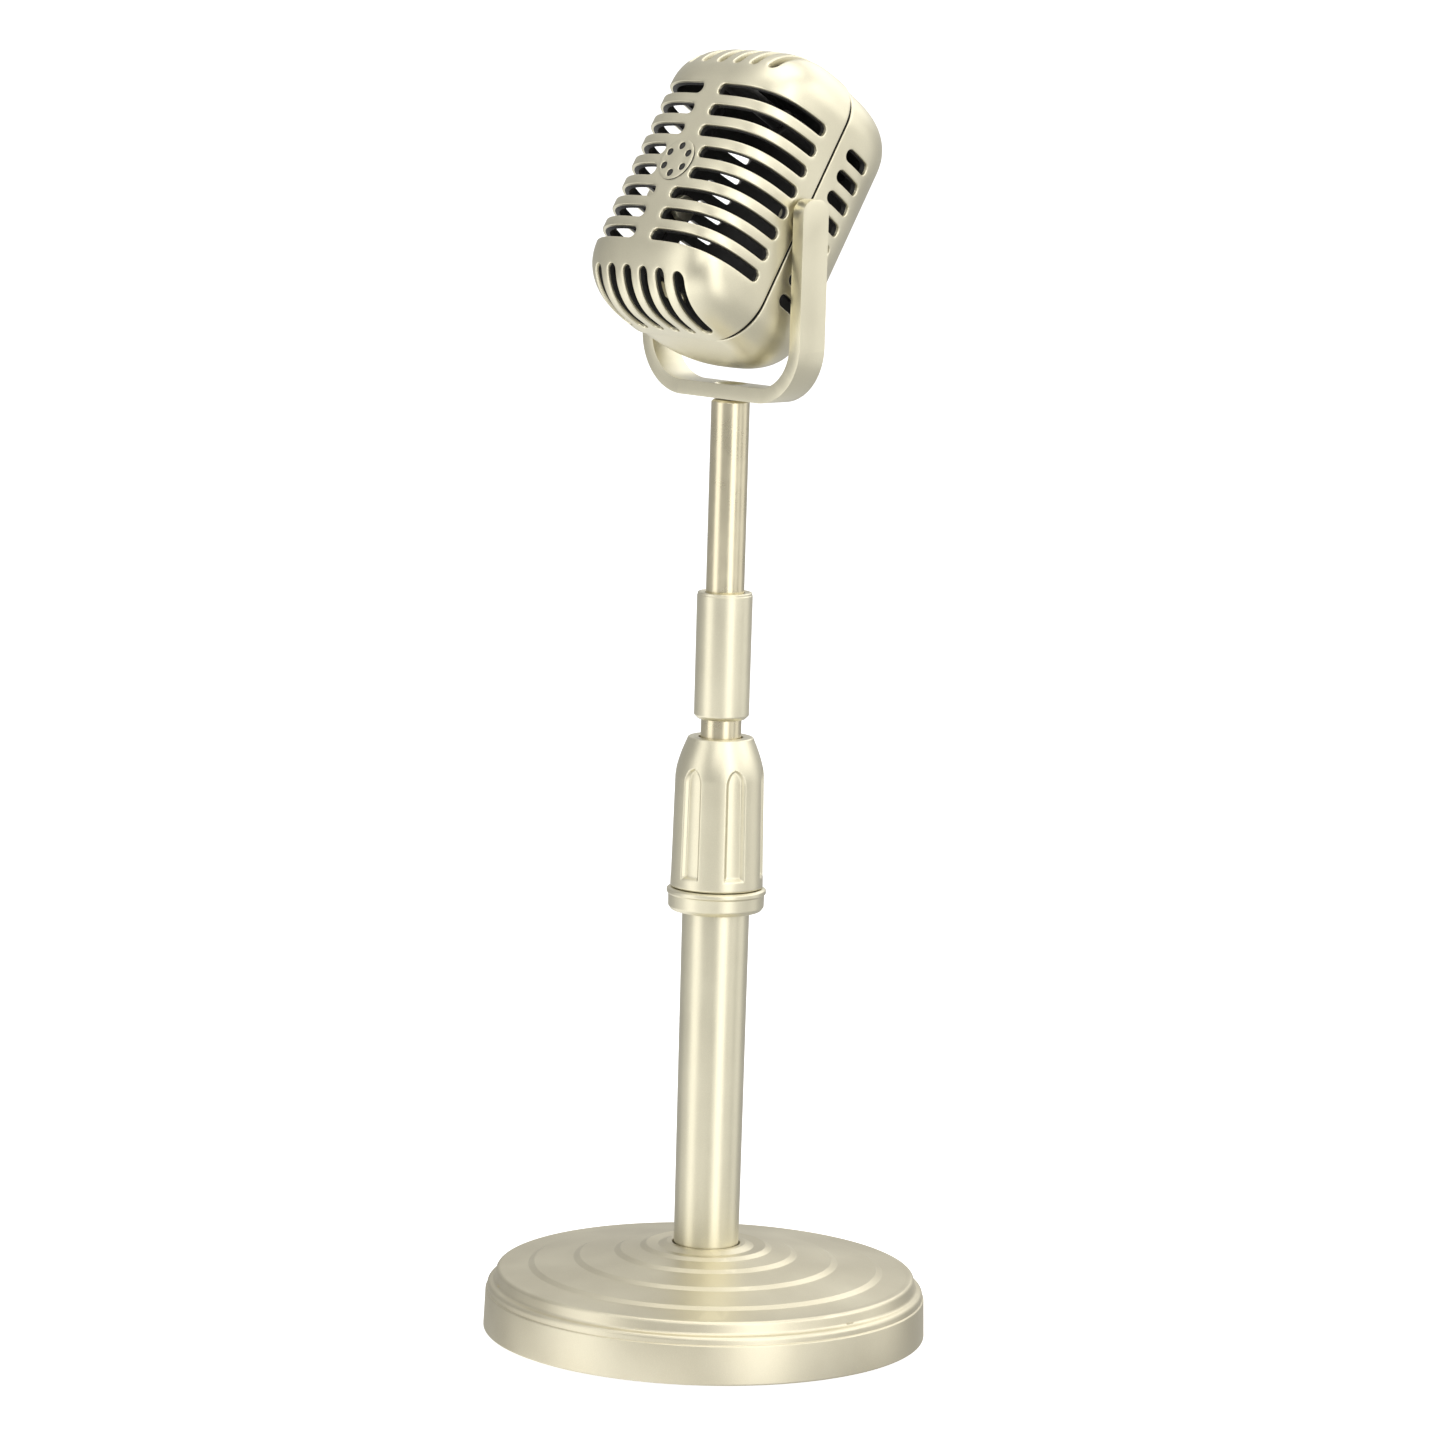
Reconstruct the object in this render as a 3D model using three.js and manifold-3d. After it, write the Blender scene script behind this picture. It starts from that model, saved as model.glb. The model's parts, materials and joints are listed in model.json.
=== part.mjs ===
// Toy microphone: a decorative retro microphone on a table stand.
// Units are millimetres, +Z is up, and the origin is the centre of the underside of the base.
// The front of the microphone faces -Y. The mast telescopes and turns about Z, and the head
// tilts about an axis along X between the arms of a U-shaped yoke.
import * as THREE from "three";
import { mergeVertices } from "three/addons/utils/BufferGeometryUtils.js";
import Module from "manifold-3d";

const wasm = await Module();
wasm.setup();

// ---------------------------------------------------------------- driving dimensions
const GAP = 0.3; // between pieces that touch
const MATE = 0.15; // half of the gap between the two head shells

const BASE = { radius: 49, rimBottom: 0.6, shoulder: 9.6, discRadius: 45.2, discHeight: 14, wall: 2.4 };
const DOME = { foot: 9.3, height: 20.6, steps: [38.7, 28.7, 19.7, 14], riser: 0.7 };
const SOLE = { radius: 45.6, thickness: 2 };
const WEIGHT = { radius: 40, bottom: 2.3, top: 7.3, boreRadius: 6.5, boreTop: 5.3 };
const HUB = { radius: 9.6, bottom: 7.6, floor: 12, screwHole: 2.5, ribs: 6, ribWidth: 1.8 };
const SCREW_RADIUS = 1.9; // of the screw that holds the tube to the base
const PLUG_TOP = 24;
const TUBE = { footRadius: 7.2, topRadius: 7.4, innerRadius: 6.2, bottom: 12.3, top: 95.2 };
const COLLAR = { bottom: 95.5, top: 100.4, radius: 10.6, lip: 0.35 };
const SPIGOT = { radius: 7.6, top: 115.8, stemRadius: 5.9, stemBottom: 88 };
const COLLET = { bottom: 117.4, shoulder: 121, top: 129.6, radius: 7.2, topRadius: 5.6, slits: 4, slit: 0.9 };
const GRIP = { bottom: 100.7, shoulder: 125, top: 134, footRadius: 10.2, shoulderRadius: 9.8, topRadius: 7.4 };
const GRIP_BORE = { radius: 7.9, coneStart: 121.5, coneEnd: 130.5, coneRadius: 6, topRadius: 4.9 };
const FLUTE = { count: 6, bottom: 103, top: 126, halfWidth: 2.1, depth: 1.1, turn: THREE.MathUtils.degToRad(10) };
const MAST = { radius: 4.45, innerRadius: 3.5, bottom: 28, top: 151.7 };
const BUSH = { radius: 5.9, bottom: 29, top: 36 };
const SLEEVE = { radius: 6.1, bottom: 138, top: 166, step: 152, chamfer: 0.7 };
const ROD = { radius: 4.2, bottom: 152.3, top: 208.1 };
const YOKE = { underside: 208.4, thickness: 2.6, width: 7.4, halfSpan: 25.2, bend: 13, headroom: 0.8 };
const PIVOT_HEIGHT = 248.4;
const TILT = THREE.MathUtils.degToRad(31); // the head leans back by this much at rest
const HEAD_LIFT = 1.6; // centre of the head above its pivot, along the head

const FRONT = { halfWidth: 21, halfHeight: 32.4, depth: 21.1, corner: 10.8, crown: 13.5, power: 3.7 };
const REAR = { halfWidth: 20.4, halfHeight: 31.6, depth: 23.1, corner: 9.6, crown: 11.4, power: 2.7 };
const SHELL_WALL = 1.8;
const SLOT_ROWS = 8;
const SLOT_PITCH = 5.1;
const SLOT_HEIGHT = 2.8;
const SLOT_MIDDLE = -0.6; // height of the middle of the slot rows above the head's centre
const RIB_HALF = 2.5; // half-width of the rib between the two columns of slots
const FRONT_SLOT_END = 4.2; // how far in front of the seam a front slot ends
const SIDE_SLOT = { start: 3.5, end: 12.2 }; // behind the seam
const END_SLOT = { inner: 24.9, pitch: 5.1, width: 2.7, count: 6, rim: 2.9 };
const POST = { height: 21.4, frontRadius: 2.2, rearRadius: 3.3 };
const PIN = { radius: 1.6, headRadius: 3, headInner: 16.2, headOuter: 17.8 };
const ROSETTE = { radius: 4.9, thickness: 0.5, holes: 6, holeRadius: 0.75, ring: 3.3 };

// ---------------------------------------------------------------- materials
function finish(color, roughness, metalness) {
  return new THREE.MeshStandardMaterial({ color, roughness, metalness });
}
const champagne = finish(0xc9bf9a, 0.38, 0.75);
const brassy = finish(0xb8a878, 0.25, 0.95);
const blackPlastic = finish(0x1a1917, 0.6, 0);
const whitePlastic = finish(0xd8d6cc, 0.5, 0);
const rubber = finish(0x161616, 0.95, 0);
const steel = finish(0x8c8c8a, 0.4, 0.9);

// ---------------------------------------------------------------- geometry helpers
function toSolid(geometry) {
  const bare = geometry.index ? geometry.toNonIndexed() : geometry.clone();
  bare.deleteAttribute("normal");
  bare.deleteAttribute("uv");
  const merged = mergeVertices(bare, 1e-3);
  return new wasm.Manifold(
    new wasm.Mesh({
      numProp: 3,
      vertProperties: merged.attributes.position.array,
      triVerts: new Uint32Array(merged.index.array),
    }),
  );
}

function toGeometry(solid) {
  const mesh = solid.getMesh();
  const positions = new Float32Array(mesh.numVert * 3);
  for (let i = 0; i < mesh.numVert; i++) {
    const start = i * mesh.numProp;
    positions.set(mesh.vertProperties.subarray(start, start + 3), i * 3);
  }
  const geometry = new THREE.BufferGeometry();
  geometry.setAttribute("position", new THREE.BufferAttribute(positions, 3));
  geometry.setIndex(new THREE.BufferAttribute(mesh.triVerts, 1));
  geometry.computeVertexNormals();
  return geometry;
}

function cut(geometry, ...cutters) {
  const solid = cutters.reduce((left, cutter) => left.subtract(toSolid(cutter)), toSolid(geometry));
  return toGeometry(solid);
}

function join(geometry, ...others) {
  const solid = others.reduce((all, other) => all.add(toSolid(other)), toSolid(geometry));
  return toGeometry(solid);
}

// A closed (radius, height) outline turned about Z, given counter-clockwise with radius to the right.
function turned(outline, segments) {
  const points = outline.map(([radius, height]) => new THREE.Vector2(radius, height));
  points.push(points[0].clone());
  return new THREE.LatheGeometry(points, segments).rotateX(Math.PI / 2);
}

// A solid of revolution about Z whose outline starts and ends on the axis.
function turnedSolid(outline, segments) {
  const points = outline.map(([radius, height]) => new THREE.Vector2(radius, height));
  return new THREE.LatheGeometry(points, segments).rotateX(Math.PI / 2);
}

function ring(inner, outer, bottom, top, segments) {
  const outline = [
    [inner, bottom],
    [outer, bottom],
    [outer, top],
    [inner, top],
  ];
  return turned(outline, segments);
}

function rod(radius, bottom, top, segments) {
  const outline = [
    [0, bottom],
    [radius, bottom],
    [radius, top],
    [0, top],
  ];
  return turnedSolid(outline, segments);
}

function block(x0, x1, y0, y1, z0, z1) {
  const box = new THREE.BoxGeometry(x1 - x0, y1 - y0, z1 - z0);
  return box.translate((x0 + x1) / 2, (y0 + y1) / 2, (z0 + z1) / 2);
}

// Points on a quarter turn or other arc in (radius, height), end points included.
function arc(centreR, centreZ, radius, fromDeg, toDeg, steps) {
  return Array.from({ length: steps + 1 }, (_, i) => {
    const angle = THREE.MathUtils.degToRad(fromDeg + ((toDeg - fromDeg) * i) / steps);
    return [centreR + radius * Math.cos(angle), centreZ + radius * Math.sin(angle)];
  });
}

// ---------------------------------------------------------------- base
// Height of the dome over the disc at a radius, without its steps.
function domeHeight(radius) {
  const share = (BASE.discRadius - radius) / (BASE.discRadius - DOME.foot);
  return BASE.discHeight + (DOME.height - BASE.discHeight - DOME.steps.length * DOME.riser) * share;
}

function domeOutline() {
  const outline = [];
  DOME.steps.forEach((radius, i) => {
    const below = domeHeight(radius) + i * DOME.riser;
    outline.push([radius + 0.2, below], [radius - 0.4, below + DOME.riser]);
  });
  return outline;
}

function baseCover() {
  const wallRadius = BASE.radius - BASE.wall;
  const roof = BASE.discHeight - BASE.wall;
  const outline = [
    [TUBE.footRadius + GAP, HUB.floor],
    [HUB.screwHole, HUB.floor],
    [HUB.screwHole, HUB.bottom],
    [HUB.radius, HUB.bottom],
    [HUB.radius, roof],
    [wallRadius - 1, roof],
    [wallRadius, roof - 1],
    [wallRadius, BASE.rimBottom],
    [BASE.radius - 0.3, BASE.rimBottom],
    [BASE.radius, BASE.rimBottom + 0.5],
    [BASE.radius - 0.3, BASE.shoulder - 0.4],
    [BASE.radius - 0.7, BASE.shoulder - 0.2],
    ...arc(BASE.radius - 1.95, BASE.shoulder, 1.3, 0, 80, 3),
    [BASE.radius - 2.5, BASE.shoulder + 2],
    ...arc(BASE.discRadius + 0.2, BASE.discHeight - 0.9, 0.9, 0, 80, 3),
    ...domeOutline(),
    [DOME.foot + 0.3, DOME.height - 0.9],
    [DOME.foot, DOME.height - 0.3],
    [DOME.foot - 0.5, DOME.height],
    [TUBE.footRadius + GAP, DOME.height],
  ];
  const cover = turned(outline, 32);
  const half = HUB.ribWidth / 2;
  const ribs = Array.from({ length: HUB.ribs }, (_, i) => {
    const rib = block(HUB.radius - 1, wallRadius + 0.2, -half, half, HUB.bottom, roof + 0.15);
    return rib.rotateZ((i * 2 * Math.PI) / HUB.ribs);
  });
  return join(cover, ...ribs);
}

function baseWeight() {
  const outline = [
    [HUB.screwHole, WEIGHT.boreTop],
    [WEIGHT.boreRadius, WEIGHT.boreTop],
    [WEIGHT.boreRadius, WEIGHT.bottom],
    [WEIGHT.radius - 0.5, WEIGHT.bottom],
    [WEIGHT.radius, WEIGHT.bottom + 0.5],
    [WEIGHT.radius, WEIGHT.top - 0.5],
    [WEIGHT.radius - 0.5, WEIGHT.top],
    [HUB.screwHole, WEIGHT.top],
  ];
  return turned(outline, 32);
}

function crossRecess(depthBottom, depthTop, reach, width) {
  const first = block(-reach, reach, -width / 2, width / 2, depthBottom, depthTop);
  const second = block(-width / 2, width / 2, -reach, reach, depthBottom, depthTop);
  return [first, second];
}

function baseScrew() {
  const headBottom = SOLE.thickness + 0.5;
  const outline = [
    [0, headBottom],
    [3.6, headBottom],
    [4, headBottom + 0.4],
    [4, headBottom + 1.4],
    [SCREW_RADIUS, headBottom + 1.4],
    [SCREW_RADIUS, 21],
    [1.2, 22],
    [0, 22],
  ];
  return cut(turnedSolid(outline, 20), ...crossRecess(headBottom - 1, headBottom + 0.8, 2, 0.7));
}

// ---------------------------------------------------------------- stand tube and clutch
function lowerTube() {
  const outline = [
    [TUBE.innerRadius, TUBE.bottom],
    [TUBE.footRadius, TUBE.bottom],
    [TUBE.footRadius, DOME.height],
    [TUBE.topRadius, TUBE.top],
    [TUBE.innerRadius, TUBE.top],
  ];
  return turned(outline, 32);
}

function clutchBody() {
  const bore = MAST.radius + GAP;
  const outline = [
    [bore, SPIGOT.stemBottom],
    [SPIGOT.stemRadius, SPIGOT.stemBottom],
    [SPIGOT.stemRadius, COLLAR.bottom],
    [COLLAR.radius - 0.5, COLLAR.bottom],
    [COLLAR.radius, COLLAR.bottom + 0.5],
    [COLLAR.radius, COLLAR.top - 1.4],
    [COLLAR.radius + COLLAR.lip, COLLAR.top - 1],
    [COLLAR.radius + COLLAR.lip, COLLAR.top - 0.4],
    [COLLAR.radius, COLLAR.top],
    [SPIGOT.radius, COLLAR.top],
    [SPIGOT.radius, SPIGOT.top],
    [bore, SPIGOT.top],
  ];
  return turned(outline, 32);
}

function clutchCollet() {
  const bore = MAST.radius + GAP;
  const outline = [
    [bore, COLLET.bottom],
    [COLLET.radius, COLLET.bottom],
    [COLLET.radius, COLLET.shoulder],
    [COLLET.topRadius, COLLET.top],
    [bore, COLLET.top],
  ];
  const slits = Array.from({ length: COLLET.slits }, (_, i) => {
    const bottom = i === 0 ? COLLET.bottom - 1 : COLLET.shoulder - 1;
    const slit = block(0, COLLET.radius + 1, -COLLET.slit / 2, COLLET.slit / 2, bottom, COLLET.top + 1);
    return slit.rotateZ((i * 2 * Math.PI) / COLLET.slits);
  });
  return cut(turned(outline, 24), ...slits);
}

function flute(index) {
  const outline = new THREE.Shape();
  outline.moveTo(-FLUTE.halfWidth, FLUTE.bottom);
  outline.lineTo(FLUTE.halfWidth, FLUTE.bottom);
  outline.lineTo(FLUTE.halfWidth, FLUTE.top - 2);
  outline.lineTo(0, FLUTE.top + 1.5);
  outline.lineTo(-FLUTE.halfWidth, FLUTE.top - 2);
  const cutter = new THREE.ExtrudeGeometry(outline, { depth: 4, bevelEnabled: false });
  cutter.rotateX(Math.PI / 2);
  cutter.translate(0, -(GRIP.shoulderRadius - FLUTE.depth), 0);
  return cutter.rotateZ(FLUTE.turn + (index * 2 * Math.PI) / FLUTE.count);
}

function clutchGrip() {
  const shoulder = Array.from({ length: 5 }, (_, i) => {
    const share = i / 4;
    const fall = (GRIP.shoulderRadius - GRIP.topRadius) * share ** 1.5;
    return [GRIP.shoulderRadius - fall, GRIP.shoulder + (GRIP.top - 0.6 - GRIP.shoulder) * share];
  });
  const outline = [
    [GRIP_BORE.radius, GRIP.bottom],
    [GRIP.footRadius - 0.3, GRIP.bottom],
    [GRIP.footRadius, GRIP.bottom + 0.4],
    ...shoulder,
    [GRIP.topRadius - 0.7, GRIP.top],
    [GRIP_BORE.topRadius, GRIP.top],
    [GRIP_BORE.topRadius, GRIP_BORE.coneEnd],
    [GRIP_BORE.coneRadius, GRIP_BORE.coneEnd],
    [GRIP_BORE.radius, GRIP_BORE.coneStart],
  ];
  const flutes = Array.from({ length: FLUTE.count }, (_, i) => flute(i));
  return cut(turned(outline, 36), ...flutes);
}

// ---------------------------------------------------------------- mast
function connectorSleeve() {
  const lowerBore = MAST.radius + GAP;
  const upperBore = ROD.radius + GAP;
  const outline = [
    [lowerBore, SLEEVE.bottom],
    [SLEEVE.radius - SLEEVE.chamfer, SLEEVE.bottom],
    [SLEEVE.radius, SLEEVE.bottom + SLEEVE.chamfer],
    [SLEEVE.radius, SLEEVE.top - 0.3],
    [SLEEVE.radius - 0.3, SLEEVE.top],
    [upperBore, SLEEVE.top],
    [upperBore, SLEEVE.step],
    [lowerBore, SLEEVE.step],
  ];
  return turned(outline, 32);
}

function upperRod() {
  const boreRadius = 1.7;
  const boreBottom = ROD.top - 11;
  return cut(rod(ROD.radius, ROD.bottom, ROD.top, 28), rod(boreRadius, boreBottom, ROD.top + 1, 12));
}

// ---------------------------------------------------------------- yoke
// The strap's centre line is a U in the XZ plane with round corners.
function yokeOutline(inset) {
  const half = YOKE.halfSpan - inset;
  const bend = YOKE.bend - inset;
  const floor = YOKE.underside + inset;
  const left = arc(-half + bend, floor + bend, bend, 180, 270, 8);
  const right = arc(half - bend, floor + bend, bend, 270, 360, 8);
  return [...left, ...right];
}

function yoke() {
  const roundCentre = PIVOT_HEIGHT + YOKE.headroom;
  const armTop = roundCentre + YOKE.width / 2;
  const outer = yokeOutline(0);
  const inner = yokeOutline(YOKE.thickness).reverse();
  const innerHalf = YOKE.halfSpan - YOKE.thickness;
  const corners = [[-YOKE.halfSpan, armTop], ...outer, [YOKE.halfSpan, armTop], [innerHalf, armTop]];
  const outline = new THREE.Shape([...corners, ...inner, [-innerHalf, armTop]].map(([x, z]) => new THREE.Vector2(x, z)));
  const strap = new THREE.ExtrudeGeometry(outline, { depth: YOKE.width, bevelEnabled: false });
  strap.rotateX(Math.PI / 2).translate(0, YOKE.width / 2, 0);
  // Seen from the side, the strap is as wide as YOKE.width and each arm ends in a half round.
  const side = new THREE.Shape();
  side.moveTo(-YOKE.width, YOKE.underside - 1);
  side.lineTo(YOKE.width, YOKE.underside - 1);
  side.lineTo(YOKE.width, roundCentre);
  side.lineTo(YOKE.width / 2, roundCentre);
  side.absarc(0, roundCentre, YOKE.width / 2, 0, Math.PI, false);
  side.lineTo(-YOKE.width, roundCentre);
  const reach = 2 * YOKE.halfSpan + 10;
  const envelope = new THREE.ExtrudeGeometry(side, { depth: reach, bevelEnabled: false, curveSegments: 12 });
  envelope.translate(0, 0, -reach / 2).rotateX(Math.PI / 2).rotateZ(Math.PI / 2);
  const rounded = toSolid(strap).intersect(toSolid(envelope));
  const pinHole = rod(PIN.radius + GAP, -reach, reach, 20).rotateY(Math.PI / 2).translate(0, 0, PIVOT_HEIGHT);
  const inside = YOKE.underside + YOKE.thickness;
  const screwHole = turnedSolid(
    [
      [0, YOKE.underside - 1],
      [1.9, YOKE.underside - 1],
      [1.9, inside - 1.6],
      [3.7, inside],
      [3.7, inside + 1],
      [0, inside + 1],
    ],
    20,
  );
  return toGeometry(rounded.subtract(toSolid(pinHole)).subtract(toSolid(screwHole)));
}

function yokeScrew() {
  const top = YOKE.underside + YOKE.thickness - 0.1;
  const outline = [
    [0, ROD.top - 10],
    [1.4, ROD.top - 10],
    [1.4, top - 1.7],
    [3.2, top - 0.2],
    [3.2, top],
    [0, top],
  ];
  return cut(turnedSolid(outline, 16), ...crossRecess(top - 0.9, top + 1, 1.7, 0.6));
}

// Lies along +X, from inside the head's side wall to the outer face of the yoke's arm.
function pivotPin() {
  const outline = [
    [0, PIN.headInner],
    [PIN.headRadius, PIN.headInner],
    [PIN.headRadius, PIN.headOuter],
    [PIN.radius, PIN.headOuter],
    [PIN.radius, YOKE.halfSpan - 0.2],
    [0, YOKE.halfSpan - 0.2],
  ];
  return turnedSolid(outline, 16).rotateY(Math.PI / 2);
}

function pivotWasher() {
  const inner = FRONT.halfWidth + GAP;
  const outer = YOKE.halfSpan - YOKE.thickness - GAP;
  return ring(PIN.radius + GAP, 3.3, inner, outer, 20).rotateY(Math.PI / 2);
}

// ---------------------------------------------------------------- head
// Half of the head, drawn with its open side on the XZ plane and its bulge towards -Y.
// Every level section is half of a superellipse, and it shrinks over the crown and the chin.
// An inset makes the hollow of the shell, and the skirt carries the hollow past the open side.
function halfHead(form, inset, skirt) {
  const columns = 14;
  const cornerSteps = 4;
  const halfHeight = form.halfHeight - inset;
  const bend = Math.max(form.corner, form.crown) - inset;
  const heights = [];
  for (let i = 0; i <= cornerSteps; i++)
    heights.push(halfHeight - bend + bend * Math.sin(((i / cornerSteps) * Math.PI) / 2));
  const levels = [...heights.map((height) => -height).reverse(), ...heights];
  const shrink = (height, radius) => {
    const over = Math.min(Math.max((Math.abs(height) - (halfHeight - radius)) / radius, 0), 1);
    return radius * (Math.sqrt(1 - over * over) - 1);
  };
  const section = (height) => {
    const width = form.halfWidth - inset + shrink(height, form.corner - inset);
    const depth = form.depth - inset + shrink(height, form.crown - inset);
    const points = [new THREE.Vector3(width, skirt, height)];
    for (let i = 0; i <= columns; i++) {
      const angle = (i / columns) * Math.PI;
      const across = Math.cos(angle);
      const forward = Math.max(Math.sin(angle), 0);
      const x = width * Math.sign(across) * Math.abs(across) ** (2 / form.power);
      points.push(new THREE.Vector3(x, -depth * forward ** (2 / form.power), height));
    }
    points.push(new THREE.Vector3(-width, skirt, height));
    return points;
  };
  const triangles = [];
  const face = (...corners) => corners.forEach((corner) => triangles.push(corner.x, corner.y, corner.z));
  const rings = levels.map(section);
  const last = rings[0].length - 1;
  for (let level = 0; level + 1 < rings.length; level++) {
    const low = rings[level];
    const high = rings[level + 1];
    for (let i = 0; i <= last; i++) {
      const next = i === last ? 0 : i + 1;
      if (low[i].distanceTo(low[next]) < 1e-3) continue;
      face(low[i], high[next], low[next]);
      face(low[i], high[i], high[next]);
    }
  }
  for (const [points, up] of [[rings[0], false], [rings.at(-1), true]])
    for (let i = 1; i < last; i++) {
      if (points[i].distanceTo(points[i + 1]) < 1e-3) continue;
      if (up) face(points[0], points[i + 1], points[i]);
      else face(points[0], points[i], points[i + 1]);
    }
  const geometry = new THREE.BufferGeometry();
  geometry.setAttribute("position", new THREE.Float32BufferAttribute(triangles, 3));
  return geometry;
}

function slotHeights() {
  const first = SLOT_MIDDLE - ((SLOT_ROWS - 1) / 2) * SLOT_PITCH;
  return Array.from({ length: SLOT_ROWS }, (_, row) => first + row * SLOT_PITCH);
}

// One cutter on each side of the middle for every row of slots, from inner to outer in X and
// from near to far in front of the seam.
function rowCutters(inner, outer, near, far) {
  return slotHeights().flatMap((height) => {
    const low = height - SLOT_HEIGHT / 2;
    const high = height + SLOT_HEIGHT / 2;
    return [block(inner, outer, -far, -near, low, high), block(-outer, -inner, -far, -near, low, high)];
  });
}

// The upright slots over the crown and under the chin.
function endCutters() {
  return Array.from({ length: END_SLOT.count }, (_, i) => (i - (END_SLOT.count - 1) / 2) * END_SLOT.pitch).flatMap(
    (across) => {
      const low = across - END_SLOT.width / 2;
      const high = across + END_SLOT.width / 2;
      const far = FRONT.depth + 2;
      const tall = FRONT.halfHeight + 2;
      return [
        block(low, high, -far, -END_SLOT.rim, SLOT_MIDDLE + END_SLOT.inner, tall),
        block(low, high, -far, -END_SLOT.rim, -tall, SLOT_MIDDLE - END_SLOT.inner),
      ];
    },
  );
}

// A post along Y behind the front wall, or in front of the back wall.
function post(radius, from, to, height, segments = 12) {
  return rod(radius, from, to, segments).rotateX(-Math.PI / 2).translate(0, 0, height);
}

function pinHoleThroughHead() {
  const reach = FRONT.halfWidth + 5;
  return rod(PIN.radius + GAP, -reach, reach, 16).rotateY(Math.PI / 2).translate(0, 0, -HEAD_LIFT);
}

function shell(form, cutters, posts, holes) {
  const outer = toSolid(halfHead(form, 0, 0));
  const hollow = outer.subtract(toSolid(halfHead(form, SHELL_WALL, 1)));
  const open = cutters.reduce((left, cutter) => left.subtract(toSolid(cutter)), hollow);
  const supported = posts.reduce((all, one) => all.add(outer.intersect(toSolid(one))), open);
  return toGeometry(holes.reduce((left, hole) => left.subtract(toSolid(hole)), supported));
}

function frontShell() {
  const cutters = [...rowCutters(RIB_HALF, FRONT.halfWidth + 2, FRONT_SLOT_END, FRONT.depth + 2), ...endCutters()];
  const heights = [POST.height, -POST.height];
  const posts = heights.map((height) => post(POST.frontRadius, -FRONT.depth, 0, height));
  const pilots = heights.map((height) => post(1.3, -8, 1, height));
  return shell(FRONT, cutters, posts, [...pilots, pinHoleThroughHead()]).translate(0, -MATE, 0);
}

function rearShell() {
  const sideSlots = rowCutters(REAR.halfWidth - 8, REAR.halfWidth + 2, SIDE_SLOT.start, SIDE_SLOT.end);
  const heights = [POST.height, -POST.height];
  const posts = heights.map((height) => post(POST.rearRadius, -REAR.depth, 0, height));
  const wells = heights.map((height) => post(2.7, -REAR.depth - 1, -3, height));
  const holes = heights.map((height) => post(1.4, -REAR.depth, 1, height));
  const turnedRound = shell(REAR, sideSlots, posts, [...wells, ...holes, pinHoleThroughHead()]);
  return turnedRound.rotateZ(Math.PI).translate(0, MATE, 0);
}

// Glued on the rib between the two columns of slots.
function frontRosette() {
  const disc = post(ROSETTE.radius, 0, ROSETTE.thickness, 0, 24);
  const holes = Array.from({ length: ROSETTE.holes }, (_, i) => {
    const angle = ((i + 0.5) / ROSETTE.holes) * 2 * Math.PI;
    const hole = post(ROSETTE.holeRadius, -1, ROSETTE.thickness + 1, 0, 8);
    return hole.translate(ROSETTE.ring * Math.cos(angle), 0, ROSETTE.ring * Math.sin(angle));
  });
  return cut(disc, ...holes).translate(0, -FRONT.depth - MATE - 0.1 - ROSETTE.thickness, SLOT_MIDDLE);
}

// Driven forwards from the well in the rear shell into the front shell's post.
function shellScrew(height) {
  const outline = [
    [0, -7],
    [1.1, -6.2],
    [1.1, 3.4],
    [2.3, 3.4],
    [2.3, 4.4],
    [1.6, 5],
    [0, 5],
  ];
  const screw = cut(turnedSolid(outline, 14), ...crossRecess(4.2, 6, 1.2, 0.5));
  return screw.rotateX(-Math.PI / 2).translate(0, 0, height);
}

// ---------------------------------------------------------------- assembly
function named(name, geometry, material) {
  const mesh = new THREE.Mesh(geometry, material);
  mesh.name = name;
  return mesh;
}

function group(...children) {
  return new THREE.Group().add(...children);
}

const stand = group(
  named("base_sole", rod(SOLE.radius, 0, SOLE.thickness, 32), rubber),
  named("base_weight", baseWeight(), steel),
  named("base_cover", baseCover(), champagne),
  named("base_washer", ring(2.3, 5.6, SOLE.thickness + 2.1, WEIGHT.boreTop - 0.2, 20), steel),
  named("base_screw", baseScrew(), steel),
  named("tube_plug", ring(SCREW_RADIUS + GAP, TUBE.innerRadius - GAP, TUBE.bottom, PLUG_TOP, 24), blackPlastic),
  named("lower_tube", lowerTube(), champagne),
  named("clutch_body", clutchBody(), champagne),
  named("clutch_washer", ring(MAST.radius + GAP, 7.4, SPIGOT.top + GAP, COLLET.bottom - GAP, 24), whitePlastic),
  named("clutch_collet", clutchCollet(), whitePlastic),
);
const grip = group(named("clutch_grip", clutchGrip(), champagne));

const mast = group(
  named("slide_bush", ring(MAST.radius + GAP, BUSH.radius, BUSH.bottom, BUSH.top, 24), whitePlastic),
  named("inner_tube", ring(MAST.innerRadius, MAST.radius, MAST.bottom, MAST.top, 24), brassy),
  named("connector_sleeve", connectorSleeve(), champagne),
  named("upper_rod", upperRod(), brassy),
  named("yoke", yoke(), champagne),
  named("yoke_screw", yokeScrew(), steel),
);

const head = group(
  named("pivot_pin_right", pivotPin(), champagne),
  named("pivot_pin_left", pivotPin().rotateZ(Math.PI), champagne),
  named("pivot_washer_right", pivotWasher(), champagne),
  named("pivot_washer_left", pivotWasher().rotateZ(Math.PI), champagne),
);
const shells = group(
  named("front_shell", frontShell(), champagne),
  named("rear_shell", rearShell(), champagne),
  named("front_rosette", frontRosette(), champagne),
  named("shell_screw_top", shellScrew(POST.height), steel),
  named("shell_screw_bottom", shellScrew(-POST.height), steel),
);
shells.position.z = HEAD_LIFT;
head.add(shells);
head.position.z = PIVOT_HEIGHT;
head.rotation.x = -TILT;

export default group(stand, grip, mast, head);
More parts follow.
